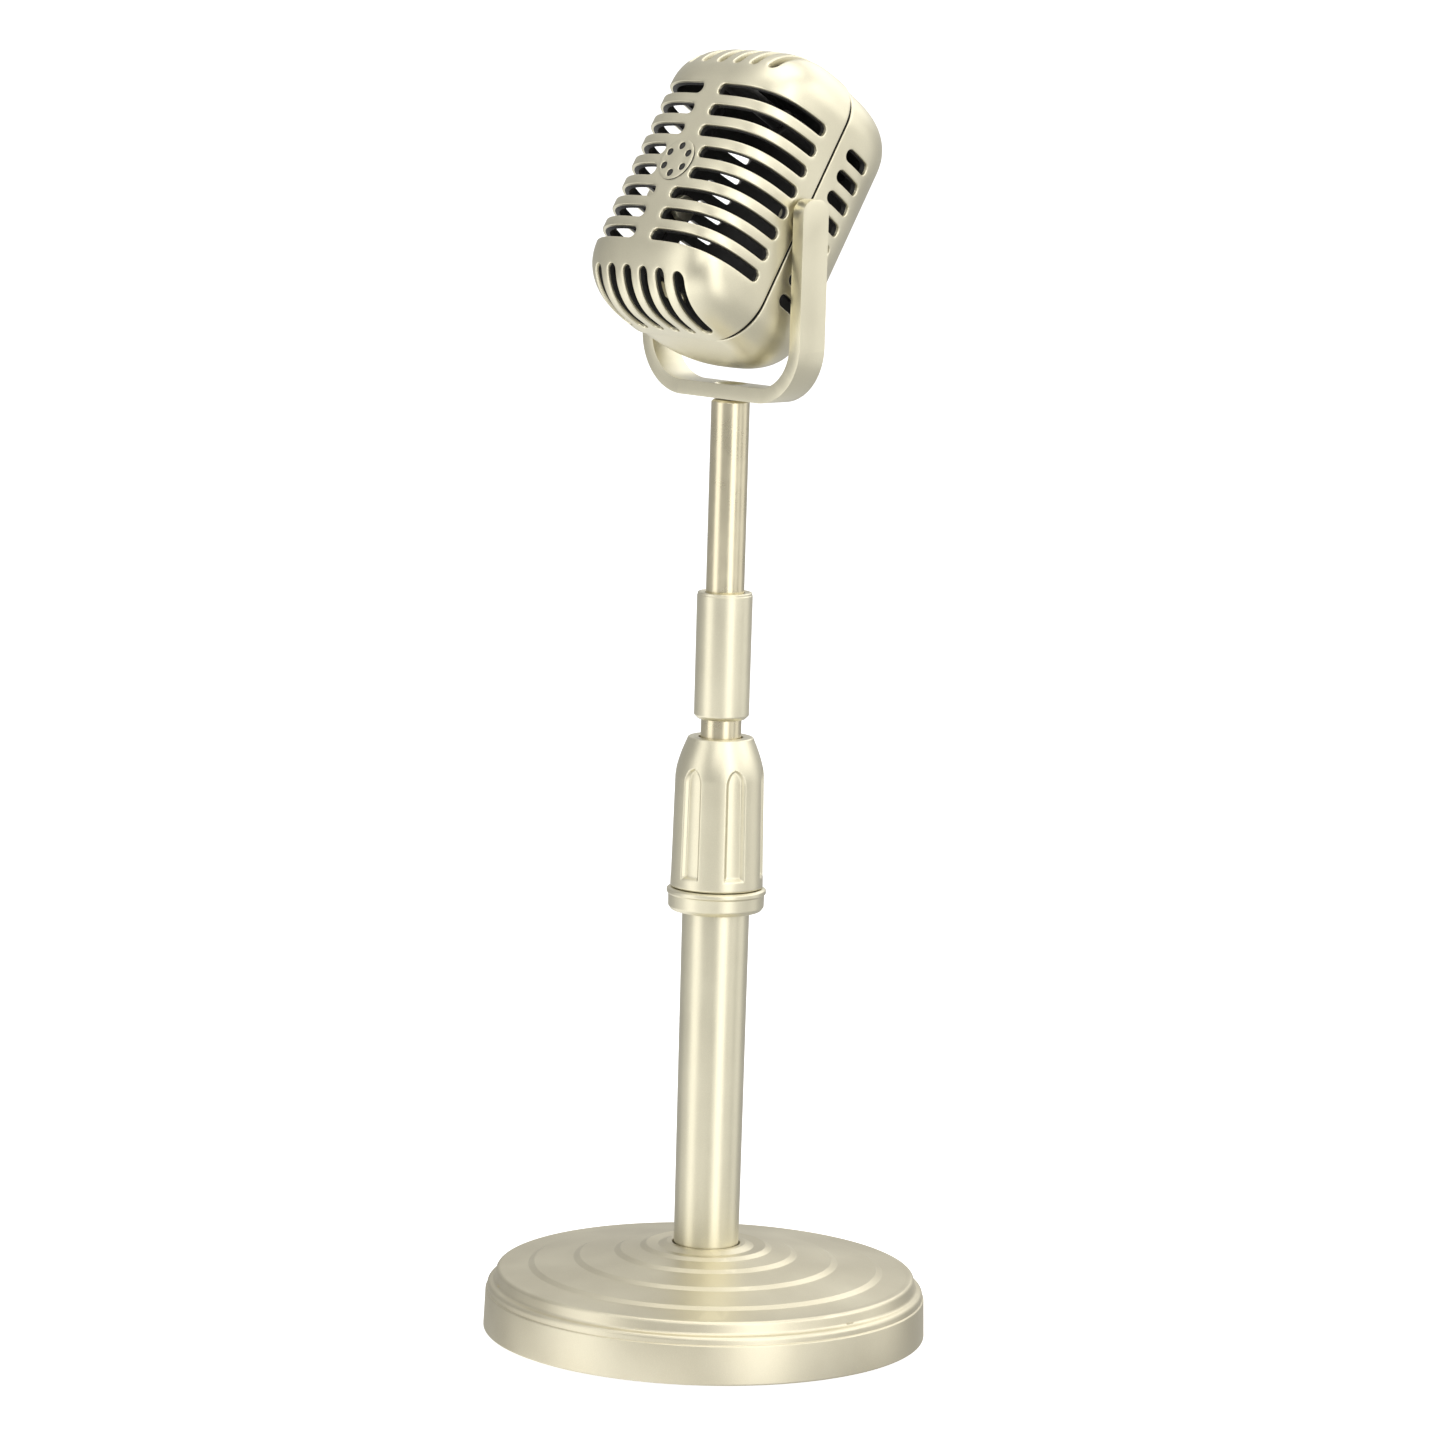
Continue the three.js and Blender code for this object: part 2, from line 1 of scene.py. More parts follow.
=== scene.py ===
"""Toy microphone on a table stand: the looks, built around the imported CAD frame.

Blender works in metres. The sizes of the pieces are in millimetres, and MM turns them into
metres; the camera's and the lamps' places are in metres. The front of the microphone faces -Y,
the mast stands on +Z, and the head tilts about X.
"""
import json
import math

import bmesh
import bpy
import numpy as np
from mathutils import Matrix, Vector
from mathutils.geometry import delaunay_2d_cdt


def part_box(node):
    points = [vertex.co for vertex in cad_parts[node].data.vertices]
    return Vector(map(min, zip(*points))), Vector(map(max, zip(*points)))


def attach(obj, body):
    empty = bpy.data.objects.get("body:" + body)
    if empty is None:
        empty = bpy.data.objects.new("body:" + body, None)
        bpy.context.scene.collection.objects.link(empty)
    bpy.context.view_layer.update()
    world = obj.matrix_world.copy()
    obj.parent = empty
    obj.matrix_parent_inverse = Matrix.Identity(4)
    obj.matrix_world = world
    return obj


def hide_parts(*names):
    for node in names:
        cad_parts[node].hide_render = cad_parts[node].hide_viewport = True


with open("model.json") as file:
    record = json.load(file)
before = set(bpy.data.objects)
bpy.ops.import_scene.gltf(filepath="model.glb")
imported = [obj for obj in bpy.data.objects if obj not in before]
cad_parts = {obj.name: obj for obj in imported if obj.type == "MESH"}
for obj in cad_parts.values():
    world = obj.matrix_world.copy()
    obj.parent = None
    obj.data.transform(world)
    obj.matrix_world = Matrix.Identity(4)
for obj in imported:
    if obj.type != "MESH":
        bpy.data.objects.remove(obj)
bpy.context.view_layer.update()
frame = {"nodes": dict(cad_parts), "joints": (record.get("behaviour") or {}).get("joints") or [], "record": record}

MM = 0.001
MERGE = 2e-6  # metres within which two points are one
DEGENERATE = 1e-7  # length of an edge that is none, and the error of flat meshing

# ---- camera
VIEW_AZIMUTH = 47.3  # degrees round from the front, towards the microphone's left
VIEW_DISTANCE = 1.25
VIEW_HEIGHT = 0.322
VIEW_PITCH = 8.416
VIEW_YAW = 0.013
VIEW_ROLL = 1.68
LENS = 143.7  # mm, on a sensor of this width
SENSOR = 36

# ---- shape of the head
PIVOT = next(joint for joint in frame["joints"] if joint["name"] == "head_tilt")["pos_m"][2] / MM
LEAN = 31  # degrees that the head leans back at rest
HEAD_LIFT = 1.6  # centre of the head above its pivot, along the head
MATE = 0.15  # half of the gap between the two shells
FRONT = {"width": 21, "height": 32.4, "depth": 21.1, "corner": 10.8, "crown": 13.5, "power": 3.7}
REAR = {"width": 20.4, "height": 31.6, "depth": 23.1, "corner": 9.6, "crown": 11.4, "power": 2.7}
WALL = 1.8
ROWS = 8
ROW_PITCH = 5.1
ROW_MIDDLE = -0.6
SLOT_HALF = 1.4
RIB_HALF = 2.5
FRONT_SLOT_END = 4.2
SIDE_SLOT = (4.0, 12.5)
END_SLOT = {"inner": 24.9, "pitch": 5.1, "crown_half": 1.15, "chin_half": 1.35, "count": 6, "rim": 2.9}
BADGE_RADIUS = 4.9
BADGE_MARGIN = 0.45  # between the badge and the slots beside it
SEAM_GROOVE = {"width": 0.7, "depth": 0.8}  # sunk lip of the rear shell, a real groove whose black is painted shade of the seam line
SEAM_STEP = 0.04  # width of the groove's wall
CROWN_FOOT = 22.5  # on the chart; above it the paint reaches right through the slots
POST_HEIGHT = 21.4
POST_RADIUS = 3.4  # half width and reach of a box round each post and well
POST_REACH = 18
PIN_HOLE = 1.9
YOKE_THICKNESS = 3.2


def extent(node):
    """Outer radius, bottom and top of a CAD node that is turned about Z."""
    low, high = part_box(node)
    return high.x / MM, low.z / MM, high.z / MM


# ---- mesh helpers
def placed(name, data):
    """A new object of the scene from a mesh, a lamp or a camera."""
    thing = bpy.data.objects.new(name, data)
    bpy.context.scene.collection.objects.link(thing)
    return thing


def mesh_object(name, vertices, faces, sharp=38, slots=None):
    """A smooth-shaded object from millimetre vertices, with its doubled points merged.

    slots gives the material of each face. Without it, the faces are turned outwards.
    """
    mesh = bpy.data.meshes.new(name)
    mesh.from_pydata([tuple(vertex) for vertex in np.asarray(vertices, float) * MM], [], faces)
    if slots is not None:
        mesh.polygons.foreach_set("material_index", slots)
    work = bmesh.new()
    work.from_mesh(mesh)
    bmesh.ops.remove_doubles(work, verts=work.verts, dist=MERGE)
    bmesh.ops.dissolve_degenerate(work, dist=DEGENERATE, edges=work.edges)
    if slots is None:
        bmesh.ops.recalc_face_normals(work, faces=work.faces)
    work.to_mesh(mesh)
    work.free()
    thing = placed(name, mesh)
    smooth(thing, sharp)
    return thing


def smooth(thing, sharp=38):
    thing.data.shade_smooth()
    thing.data.set_sharp_from_angle(angle=math.radians(sharp))


def rounded(corners, closed=True, steps=5):
    """Outline through (radius, height, rounding) corners, with each rounding as an arc."""
    outline = []
    count = len(corners)
    for i, (x, y, rounding) in enumerate(corners):
        here = np.array([x, y], float)
        if rounding == 0 or (not closed and i in (0, count - 1)):
            outline.append(here)
            continue
        sides = [np.array(corners[k % count][:2], float) - here for k in (i - 1, i + 1)]
        reaches = [np.linalg.norm(side) for side in sides]
        before, after = (side / reach for side, reach in zip(sides, reaches))
        half = math.acos(np.clip(before @ after, -1, 1)) / 2
        tangent = min(rounding / math.tan(half), 0.49 * min(reaches))
        radius = tangent * math.tan(half)
        middle = before + after
        centre = here + middle / np.linalg.norm(middle) * radius / math.sin(half)
        x, y = here + before * tangent - centre
        sweep = math.pi - 2 * half
        if x * (here - centre)[1] - y * (here - centre)[0] < 0:
            sweep = -sweep
        for step in range(steps + 1):
            share = sweep * step / steps
            cos, sin = math.cos(share), math.sin(share)
            outline.append(centre + np.array([cos * x - sin * y, sin * x + cos * y]))
    return outline


def lathe(name, outline, angles, closed=True, depth=0.0, sharp=38):
    """Turns an outline of (radius, height) points about Z, with its radii less by a depth."""
    radii, heights = np.array(outline, float).T
    count = len(heights)
    rings = np.zeros((len(angles), count, 3))
    rings[:, :, 0] = np.cos(angles)[:, None] * (radii - depth)
    rings[:, :, 1] = np.sin(angles)[:, None] * (radii - depth)
    rings[:, :, 2] = heights
    faces = []
    for segment in range(len(angles)):
        here = segment * count
        there = (segment + 1) % len(angles) * count
        for i in range(count if closed else count - 1):
            up = (i + 1) % count
            faces.append((here + i, there + i, there + up, here + up))
    return mesh_object(name, rings.reshape(-1, 3), faces, sharp)


def turned(name, corners, segments=128, steps=5, closed=True):
    """A turned piece whose outline closes on itself."""
    angles = np.arange(segments) * 2 * math.pi / segments
    return lathe(name, rounded(corners, closed, steps), angles, closed)


def turned_solid(name, corners, segments=64, steps=5):
    """A turned piece whose outline starts and ends on the axis."""
    return turned(name, corners, segments, steps, closed=False)


def block(x0, x1, y0, y1, z0, z1):
    """A box to cut or join with."""
    corners = [(x, y, z) for x in (x0, x1) for y in (y0, y1) for z in (z0, z1)]
    faces = [(0, 1, 3, 2), (4, 6, 7, 5), (0, 4, 5, 1), (2, 3, 7, 6), (0, 2, 6, 4), (1, 5, 7, 3)]
    return mesh_object("cutter", corners, faces)


def boolean(thing, others, operation):
    """Joins or cuts with the EXACT solver, and removes the other objects."""
    for other in others:
        step = thing.modifiers.new("boolean", "BOOLEAN")
        step.operation = operation
        step.object = other
        step.solver = "EXACT"
    bake_modifiers(thing)
    for other in others:
        bpy.data.objects.remove(other)


def bake_modifiers(thing):
    graph = bpy.context.evaluated_depsgraph_get()
    finished = bpy.data.meshes.new_from_object(thing.evaluated_get(graph))
    thing.modifiers.clear()
    thing.data = finished


def bevelled(thing, width):
    step = thing.modifiers.new("bevel", "BEVEL")
    step.width = width * MM
    step.segments = 3
    step.limit_method = "ANGLE"
    step.angle_limit = math.radians(40)
    step.use_clamp_overlap = True
    bake_modifiers(thing)
    smooth(thing, 50)


def moved(thing, matrix):
    thing.data.transform(matrix)
    return thing


def shift(x, y, z):
    return Matrix.Translation(Vector((x, y, z)) * MM)


def turn(degrees, axis):
    return Matrix.Rotation(math.radians(degrees), 4, axis)


def joined(name, things):
    """One object from several closed meshes."""
    merged = bmesh.new()
    for thing in things:
        merged.from_mesh(thing.data)
    mesh = bpy.data.meshes.new(name)
    merged.to_mesh(mesh)
    merged.free()
    whole = placed(name, mesh)
    for material in things[0].data.materials:
        mesh.materials.append(material)
    for thing in things:
        bpy.data.objects.remove(thing)
    smooth(whole)
    return whole


# ---- materials
class Finish:
    """The nodes of a material or a world. Its methods add nodes, and give their outputs."""

    def __init__(self, owner):
        owner.use_nodes = True
        self.owner = owner
        self.tree = owner.node_tree
        self.place = self.add("TexCoord").outputs

    def connect(self, socket, value):
        """Links an input to an output socket, or gives it a value or an opaque colour."""
        if isinstance(value, bpy.types.NodeSocket):
            self.tree.links.new(value, socket)
        elif socket.type == "RGBA":
            socket.default_value = (*value, 1)
        else:
            socket.default_value = value

    def feed(self, node, **inputs):
        """Connects inputs, written with _ for a space, such as Base_Color."""
        for key, value in inputs.items():
            self.connect(node.inputs[key.replace("_", " ")], value)
        return node

    def add(self, kind, **inputs):
        return self.feed(self.tree.nodes.new("ShaderNode" + kind), **inputs)

    def noise(self, scale, detail=3, roughness=0.5, stretch=(1, 1, 1)):
        """Noise with the given number of features to a metre."""
        at = self.add("Mapping", Vector=self.place["Object"], Scale=stretch).outputs["Vector"]
        noise = self.add("TexNoise", Vector=at, Scale=scale, Detail=detail, Roughness=roughness)
        return noise.outputs["Fac"]

    def ramp(self, value, low, high, start=0.0, end=1.0, kind="LINEAR"):
        """Maps start..end of a value to low..high, clamped."""
        scaled = self.add("MapRange")
        scaled.interpolation_type = kind
        self.feed(scaled, Value=value, From_Min=start, From_Max=end, To_Min=low, To_Max=high)
        return scaled.outputs["Result"]

    def mix(self, factor, first, second):
        """A colour between two, each of them a socket or three numbers."""
        mixed = self.tree.nodes.new("ShaderNodeMix")
        mixed.data_type = "RGBA"
        colours = [socket for socket in mixed.inputs if socket.type == "RGBA"]
        for socket, value in zip([mixed.inputs[0], *colours], (factor, first, second)):
            self.connect(socket, value)
        return mixed.outputs["Result"]

    def bump(self, height, distance, strength=1.0, below=None):
        """Bump of a height in millimetres, over another bump where one is given."""
        bumped = self.add("Bump", Height=height, Distance=distance * MM, Strength=strength)
        if below is not None:
            self.feed(bumped, Normal=below)
        return bumped.outputs["Normal"]

    def edges(self):
        """1 on outer edges and 0 on the flats, from the curve of the mesh."""
        return self.ramp(self.add("NewGeometry").outputs["Pointiness"], 0, 1, 0.52, 0.62)

    def shade(self, kind="Principled BSDF", **inputs):
        """The material or world, with these inputs of its shader."""
        self.feed(self.tree.nodes[kind], **inputs)
        return self.owner


def new_finish(name):
    return Finish(bpy.data.materials.new(name))


def champagne(name, light, deep, roughness, coat=0.4):
    """Satin metallic paint: fine flakes, soft clouding, a faint skin, and a painted highlight that lightens the
    outer edges.
    """
    paint = new_finish(name)
    clouds = paint.noise(60, 4)
    flakes = paint.noise(5200, 2)
    skin = paint.noise(900, 2)
    bright = tuple(min(1, value * 1.14) for value in light)
    base = paint.mix(paint.ramp(clouds, 0, 1, 0.3, 0.7), deep, light)
    sparkling = paint.mix(paint.ramp(flakes, 0, 0.35, 0.45, 0.75), base, bright)
    return paint.shade(
        # Painted highlight: the colour turns lighter on the outer edges, where the mesh is most curved.
        Base_Color=paint.mix(paint.ramp(paint.edges(), 0, 0.45), sparkling, bright),
        Metallic=1.0,
        Roughness=paint.ramp(clouds, roughness - 0.035, roughness + 0.045, 0.25, 0.75),
        Coat_Weight=coat,
        Coat_Roughness=0.32,
        Normal=paint.bump(flakes, 0.006, 0.4, paint.bump(skin, 0.012, 0.35)),
    )


def brass(name):
    """Polished plated tube, with fine drawing lines along its length and faint handling marks."""
    plate = new_finish(name)
    lines = plate.noise(2600, 3, 0.6, (1, 1, 0.02))
    marks = plate.noise(140, 5)
    base = plate.mix(plate.ramp(marks, 0, 1, 0.35, 0.7), (0.66, 0.60, 0.43), (0.72, 0.66, 0.48))
    return plate.shade(
        Base_Color=plate.mix(plate.ramp(lines, 0, 0.25, 0.4, 0.7), base, (0.80, 0.74, 0.56)),
        Metallic=1.0,
        Roughness=plate.ramp(marks, 0.25, 0.33, 0.3, 0.7),
        Normal=plate.bump(lines, 0.004, 0.4),
    )


def moulded(name, dark, pale, roughness, grain, depth):
    """Unpainted moulding with a fine spark-eroded grain and slight flow clouding."""
    plastic = new_finish(name)
    texture = plastic.noise(grain, 3, 0.6)
    return plastic.shade(
        Base_Color=plastic.mix(plastic.ramp(plastic.noise(90, 3), 0, 1, 0.3, 0.7), dark, pale),
        Roughness=plastic.ramp(texture, roughness - 0.08, roughness + 0.08, 0.3, 0.7),
        Normal=plastic.bump(texture, depth, 0.5),
    )


def zinc(name):
    """Zinc-plated steel with small crystals of slightly different grey."""
    plate = new_finish(name)
    crystals = plate.add("TexVoronoi", Vector=plate.place["Object"], Scale=1500.0).outputs["Distance"]
    share = plate.ramp(crystals, 0, 1, 0.1, 0.6)
    return plate.shade(
        Base_Color=plate.mix(share, (0.55, 0.56, 0.57), (0.68, 0.69, 0.70)),
        Metallic=1.0,
        Roughness=plate.ramp(crystals, 0.28, 0.42, 0.1, 0.6),
        Normal=plate.bump(plate.noise(1800, 3), 0.006, 0.4),
    )


def cast_iron(name):
    """Raw casting: dark, grainy and a little oily."""
    iron = new_finish(name)
    sand = iron.noise(900, 6, 0.65)
    share = iron.ramp(sand, 0, 1, 0.35, 0.7)
    return iron.shade(
        Base_Color=iron.mix(share, (0.10, 0.095, 0.09), (0.20, 0.185, 0.17)),
        Metallic=0.7,
        Roughness=iron.ramp(sand, 0.5, 0.75, 0.3, 0.7),
        Normal=iron.bump(sand, 0.12, 0.6),
    )


PAINT_LIGHT = (0.73, 0.69, 0.53)
PAINT_DEEP = (0.67, 0.63, 0.475)
BASE_LIGHT = (0.69, 0.645, 0.5)
BASE_DEEP = (0.62, 0.57, 0.425)
finishes = {}
for make, name, *settings in (
    (champagne, "champagne_plastic", PAINT_LIGHT, PAINT_DEEP, 0.40),
    (champagne, "champagne_metal", PAINT_LIGHT, PAINT_DEEP, 0.37),
    (brass, "brassy_metal"),
    (moulded, "black_plastic", (0.012, 0.012, 0.011), (0.02, 0.019, 0.018), 0.5, 2200, 0.02),
    (moulded, "natural_nylon", (0.70, 0.68, 0.61), (0.80, 0.78, 0.72), 0.42, 1800, 0.01),
    (moulded, "black_rubber", (0.013, 0.013, 0.013), (0.024, 0.023, 0.022), 0.78, 1400, 0.05),
    (zinc, "zinc_steel"),
    (cast_iron, "ballast_iron"),
):
    finishes[name] = make(name, *settings)


def finish_piece(thing, body, slot, *nodes):
    """Gives a new piece the finish of a slot where it has none, puts it on its body and hides the CAD nodes that
    it stands for.
    """
    if not thing.data.materials:
        thing.data.materials.append(finishes[slot])
    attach(thing, body)
    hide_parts(*nodes)


# ---- studio
LAMP_COLOUR = (1.0, 0.99, 0.975)
FLOOR = 300  # metres from its middle to its edges
SOFTBOXES = {  # azimuth in degrees, distance, width, bottom and top in metres, and radiance
    "left": (-64, 0.85, 0.46, -0.4, 1.1, 1.3),
    "right": (29, 0.85, 0.44, -0.4, 1.3, 1.75),
    "middle_right": (66, 1.0, 0.34, -0.3, 1.0, 0.65),
    "side": (101, 1.0, 0.5, -0.3, 1.0, 0.65),
    "front": (-8, 1.0, 0.5, 0.6, 1.3, 1.6),
    "back_right": (142, 1.2, 1.1, 0.6, 1.5, 1.0),
    "low": (-22, 1.2, 0.9, -0.8, -0.05, 0.7),
    "low_left": (-100, 1.0, 0.6, -0.8, -0.05, 0.4),
    "high_right": (85, 1.0, 0.4, 0.35, 1.0, 1.0),
    "high_left": (-95, 0.9, 0.6, 0.9, 1.5, 0.6),
}


def camera():
    angles = (VIEW_AZIMUTH, VIEW_PITCH, VIEW_YAW, VIEW_ROLL)
    azimuth, pitch, yaw, roll = map(math.radians, angles)
    level = math.cos(pitch)
    forward = Vector((math.sin(yaw) * level, math.cos(yaw) * level, -math.sin(pitch)))
    right = forward.cross(Vector((0, 0, 1))).normalized()
    up = right.cross(forward)
    rolled_right = math.cos(roll) * right + math.sin(roll) * up
    rolled_up = -math.sin(roll) * right + math.cos(roll) * up
    axes = Matrix((rolled_right, rolled_up, -forward)).transposed().to_4x4()
    eye = Vector((0, -VIEW_DISTANCE, VIEW_HEIGHT))
    data = bpy.data.cameras.new("camera")
    data.lens = LENS
    data.sensor_width = SENSOR
    data.clip_start = 0.05
    view = placed("camera", data)
    view.matrix_world = Matrix.Rotation(azimuth, 4, "Z") @ Matrix.Translation(eye) @ axes
    bpy.context.scene.camera = view


def softbox(name, azimuth, distance, width, bottom, top, radiance):
    """An upright area light that faces the microphone. Azimuth 0 is behind the camera."""
    around = math.radians(VIEW_AZIMUTH + azimuth)
    out = Vector((math.sin(around), -math.cos(around), 0))
    lamp = area_light(name, width, top - bottom, radiance)
    lamp.location = out * distance + Vector((0, 0, (bottom + top) / 2))
    lamp.rotation_euler = out.to_track_quat("Z", "Y").to_euler()


def area_light(name, width, height, radiance):
    data = bpy.data.lights.new(name, "AREA")
    data.shape = "RECTANGLE"
    data.size = width
    data.size_y = height
    data.energy = radiance * width * height * math.pi
    data.color = LAMP_COLOUR
    return placed(name, data)


def sky():
    """A plain studio of soft greys, darker to the left, over a white table."""
    studio_sky = Finish(bpy.data.worlds.new("studio"))
    azimuth = math.radians(VIEW_AZIMUTH)

    def share(direction, low, high, start, end):
        """A level that follows how far a ray points in one direction."""
        along = studio_sky.add("VectorMath")
        along.operation = "DOT_PRODUCT"
        for socket, value in zip(along.inputs, (studio_sky.place["Generated"], direction)):
            studio_sky.connect(socket, value)
        return studio_sky.ramp(along.outputs["Value"], low, high, start, end, "SMOOTHSTEP")

    def blend(factor, first, second):
        return studio_sky.add("Mix", Factor=factor, A=first, B=second).outputs["Result"]

    rightwards = (math.cos(azimuth), math.sin(azimuth), 0)
    lower = share(rightwards, 0.44, 0.45, -1, 1)
    upper = share(rightwards, 0.40, 1.15, -1, 1)
    table = share(rightwards, 1.3, 0.55, -0.8, 0.6)
    sides = blend(share((0, 0, 1), 0, 1, 0.05, 0.6), lower, upper)
    around = blend(share((0, 0, -1), 0, 1, 0.28, 0.65), sides, table)
    world = studio_sky.shade("Background", Color=(1, 1, 1), Strength=around)
    bpy.context.scene.world = world


def studio():
    """Soft boxes that reach below floor level, because polished parts don't mirror the floor."""
    scene = bpy.context.scene
    scene.view_settings.view_transform = "Standard"
    scene.view_settings.look = "None"
    sky()
    for name, box in SOFTBOXES.items():
        softbox(name, *box)
    area_light("top", 1.0, 1.0, 1.5).location = (0, 0, 1.3)
    floor = bpy.data.meshes.new("floor")
    square = [(-FLOOR, -FLOOR, 0), (FLOOR, -FLOOR, 0), (FLOOR, FLOOR, 0), (-FLOOR, FLOOR, 0)]
    floor.from_pydata(square, [], [(0, 1, 2, 3)])
    paper = new_finish("paper").shade(
        Base_Color=(0.5, 0.5, 0.497),
        Roughness=0.9,
        Specular_IOR_Level=0.1,
        Emission_Color=(1, 1, 1),
        Emission_Strength=0.9,
    )
    floor.materials.append(paper)
    ground = placed("floor", floor)
    ground.visible_glossy = False
    ground.visible_shadow = False


# ---- base
def base_cover():
    radius, bottom, top = extent("base_cover")
    wall = 2.4
    disc = radius - 3.8
    disc_height = 14
    roof = disc_height - wall
    hub = 9.6
    hub_bottom = 7.6
    seat = 12  # underside of the web that the tube stands on
    screw_hole = 2.5
    tube_hole = 7.5
    foot = 9.3
    steps = (38.7, 28.7, 19.7, 14)
    riser = 0.7
    rib_count = 6
    rib_half = 0.9

    def dome(at):
        climb = top - disc_height - len(steps) * riser
        return disc_height + climb * (disc - at) / (disc - foot)

    corners = [
        (tube_hole, seat, 0),
        (screw_hole, seat, 0),
        (screw_hole, hub_bottom, 0.3),
        (hub, hub_bottom, 0.3),
        (hub, roof, 0.8),
        (radius - wall, roof, 1),
        (radius - wall, bottom, 0.2),
        (radius, bottom, 0.4),
        (radius - 0.3, 9.2, 0.3),
        (radius - 0.7, 9.4, 0.1),
        (radius - 0.65, 10.9, 1.3),
        (radius - 2.3, 11.3, 0.8),
        (radius - 2.7, disc_height, 0.9),
        (radius - 4.4, dome(radius - 4.4), 0.4),
    ]
    for i, at in enumerate(steps):
        below = dome(at) + i * riser
        corners += [(at + 0.6, below, 0.9), (at - 0.7, below + riser, 0.8)]
    corners += [
        (foot + 1.3, top - 0.75, 0.5),
        (foot + 0.1, top - 0.25, 0.35),
        (foot - 0.6, top, 0.3),
        (tube_hole, top, 0.2),
    ]
    cover = turned("base_cover_shell", corners, 192)
    ribs = []
    for i in range(rib_count):
        rib = block(hub - 1, radius - wall + 0.2, -rib_half, rib_half, hub_bottom, roof + 0.15)
        ribs.append(moved(rib, turn(360 // rib_count * i, "Z")))
    boolean(cover, ribs, "UNION")
    smooth(cover)
    paint = champagne("champagne_plastic_base", BASE_LIGHT, BASE_DEEP, 0.41, coat=0.0)
    cover.data.materials.clear()
    cover.data.materials.append(paint)
    finish_piece(cover, "stand", "champagne_plastic", "base_cover")


def base_sole():
    radius, bottom, top = extent("base_sole")
    floor = bottom + 0.5  # of the recess in the middle and of the grooves
    corners = [(0, floor, 0), (6, floor, 0.1), (6.3, bottom, 0.1)]
    groove_count = 7
    innermost = 10
    pitch = 4.6
    for i in range(groove_count):
        at = innermost + i * pitch
        corners += [(at, bottom, 0.1), (at + 0.2, floor, 0.1)]
        corners += [(at + 1, floor, 0.1), (at + 1.2, bottom, 0.1)]
    corners += [(radius - 0.6, bottom, 0.3), (radius, bottom + 0.7, 0.3)]
    corners += [(radius, top - 0.1, 0.3), (0, top - 0.02, 0)]
    sole = turned_solid("rubber_sole", corners, 160, 3)
    finish_piece(sole, "stand", "black_rubber", "base_sole")


# ---- stand and clutch
def lower_tube():
    radius, bottom, top = extent("lower_tube")
    inner = radius - 1.2
    foot = radius - 0.2
    foot_top = 20.6
    corners = [(inner, bottom, 0.1), (foot, bottom, 0.3), (foot, foot_top, 20)]
    corners += [(radius, top, 0.25), (inner, top, 0.15)]
    finish_piece(turned("stand_tube", corners, 128), "stand", "champagne_metal", "lower_tube")


def clutch_body():
    radius, bottom, top = extent("clutch_body")
    collar_bottom = 95.5
    collar_top = 100.55
    body = radius - 0.35
    bore = 4.75
    spigot = 5.9
    stem = 7.6
    corners = [
        (bore, bottom, 0.1),
        (spigot, bottom, 0.3),
        (spigot, collar_bottom, 0.2),
        (body - 0.7, collar_bottom, 0.6),
        (body - 0.05, collar_bottom + 0.9, 0.5),
        (body, collar_top - 1.45, 0.25),
        (radius, collar_top - 1.15, 0.2),
        (radius, collar_top - 0.35, 0.3),
        (body - 0.3, collar_top, 0.25),
        (stem, collar_top, 0.1),
        (stem, top, 0.4),
        (bore, top, 0.1),
    ]
    collar = turned("clutch_collar", corners, 128)
    finish_piece(collar, "stand", "champagne_plastic", "clutch_body")


def clutch_grip():
    """A turned grip whose flutes are worked into its outer skin."""
    radius, bottom, top = extent("clutch_grip")
    shoulder = 125
    shoulder_radius = 9.8
    neck = 7.4
    neck_top = top - 0.7
    bore = 7.9
    flutes = 6
    flute_turn = 40  # degrees from +X to the first flute
    flute_half = math.radians(14)
    flute_depth = 1.0
    flute_bottom = 103.1
    flute_top = 127.6
    point = 3.4  # length of the pointed end of a flute
    lip = 0.8  # from the surface of the grip down the side of a flute

    outside = [(radius - 0.35, bottom), (radius - 0.1, bottom + 0.12), (radius, bottom + 0.4)]
    for z in np.linspace(bottom + 0.8, shoulder, 74):
        narrowing = (shoulder_radius - radius) * (z - bottom) / (shoulder - bottom)
        outside.append((radius + narrowing, z))
    for share in np.linspace(0.03, 1, 40):
        z = shoulder + (neck_top - shoulder) * share
        outside.append((shoulder_radius - (shoulder_radius - neck) * share**1.55, z))
    outside += rounded([(neck, neck_top, 0), (neck - 0.25, top, 0.45), (5.3, top, 0)], False, 6)[1:]
    corners = [(5.3, top, 0), (4.9, top, 0.15), (4.9, 130.5, 0), (6, 130.5, 0), (bore, 121.5, 0)]
    corners += [(bore, bottom, 0.1), (radius - 0.35, bottom, 0)]
    outline = np.array([tuple(at) for at in outside + rounded(corners, False)[1:-1]], float)

    def flute(angle, r, z):
        """Depth of the flutes at an angle from the nearest one, a radius and a height."""
        taper = np.clip((flute_top - z) / point, 0, 1)
        side = (flute_half * np.sqrt(taper * (2 - taper)) - np.abs(angle)) * r
        foot = z - flute_bottom
        share = np.clip(np.minimum(side, foot) / lip, 0, 1)
        return flute_depth * share * share * (3 - 2 * share)

    pitch = 2 * math.pi / flutes
    wall = lip / shoulder_radius
    half = [np.linspace(0, flute_half - wall, 9), np.linspace(flute_half - wall, flute_half, 8)[1:]]
    half = np.concatenate(half + [np.linspace(flute_half, pitch / 2, 16)[1:]])
    local = np.concatenate([-half[:0:-1], half[:-1]])
    offset = np.tile(local, flutes)
    angles = math.radians(flute_turn) + np.repeat(np.arange(flutes) * pitch, len(local)) + offset
    depth = flute(offset[:, None], *outline.T)
    depth[:, len(outside) :] = 0
    grip = lathe("fluted_grip", outline, angles, depth=depth, sharp=60)
    finish_piece(grip, "grip", "champagne_plastic", "clutch_grip")


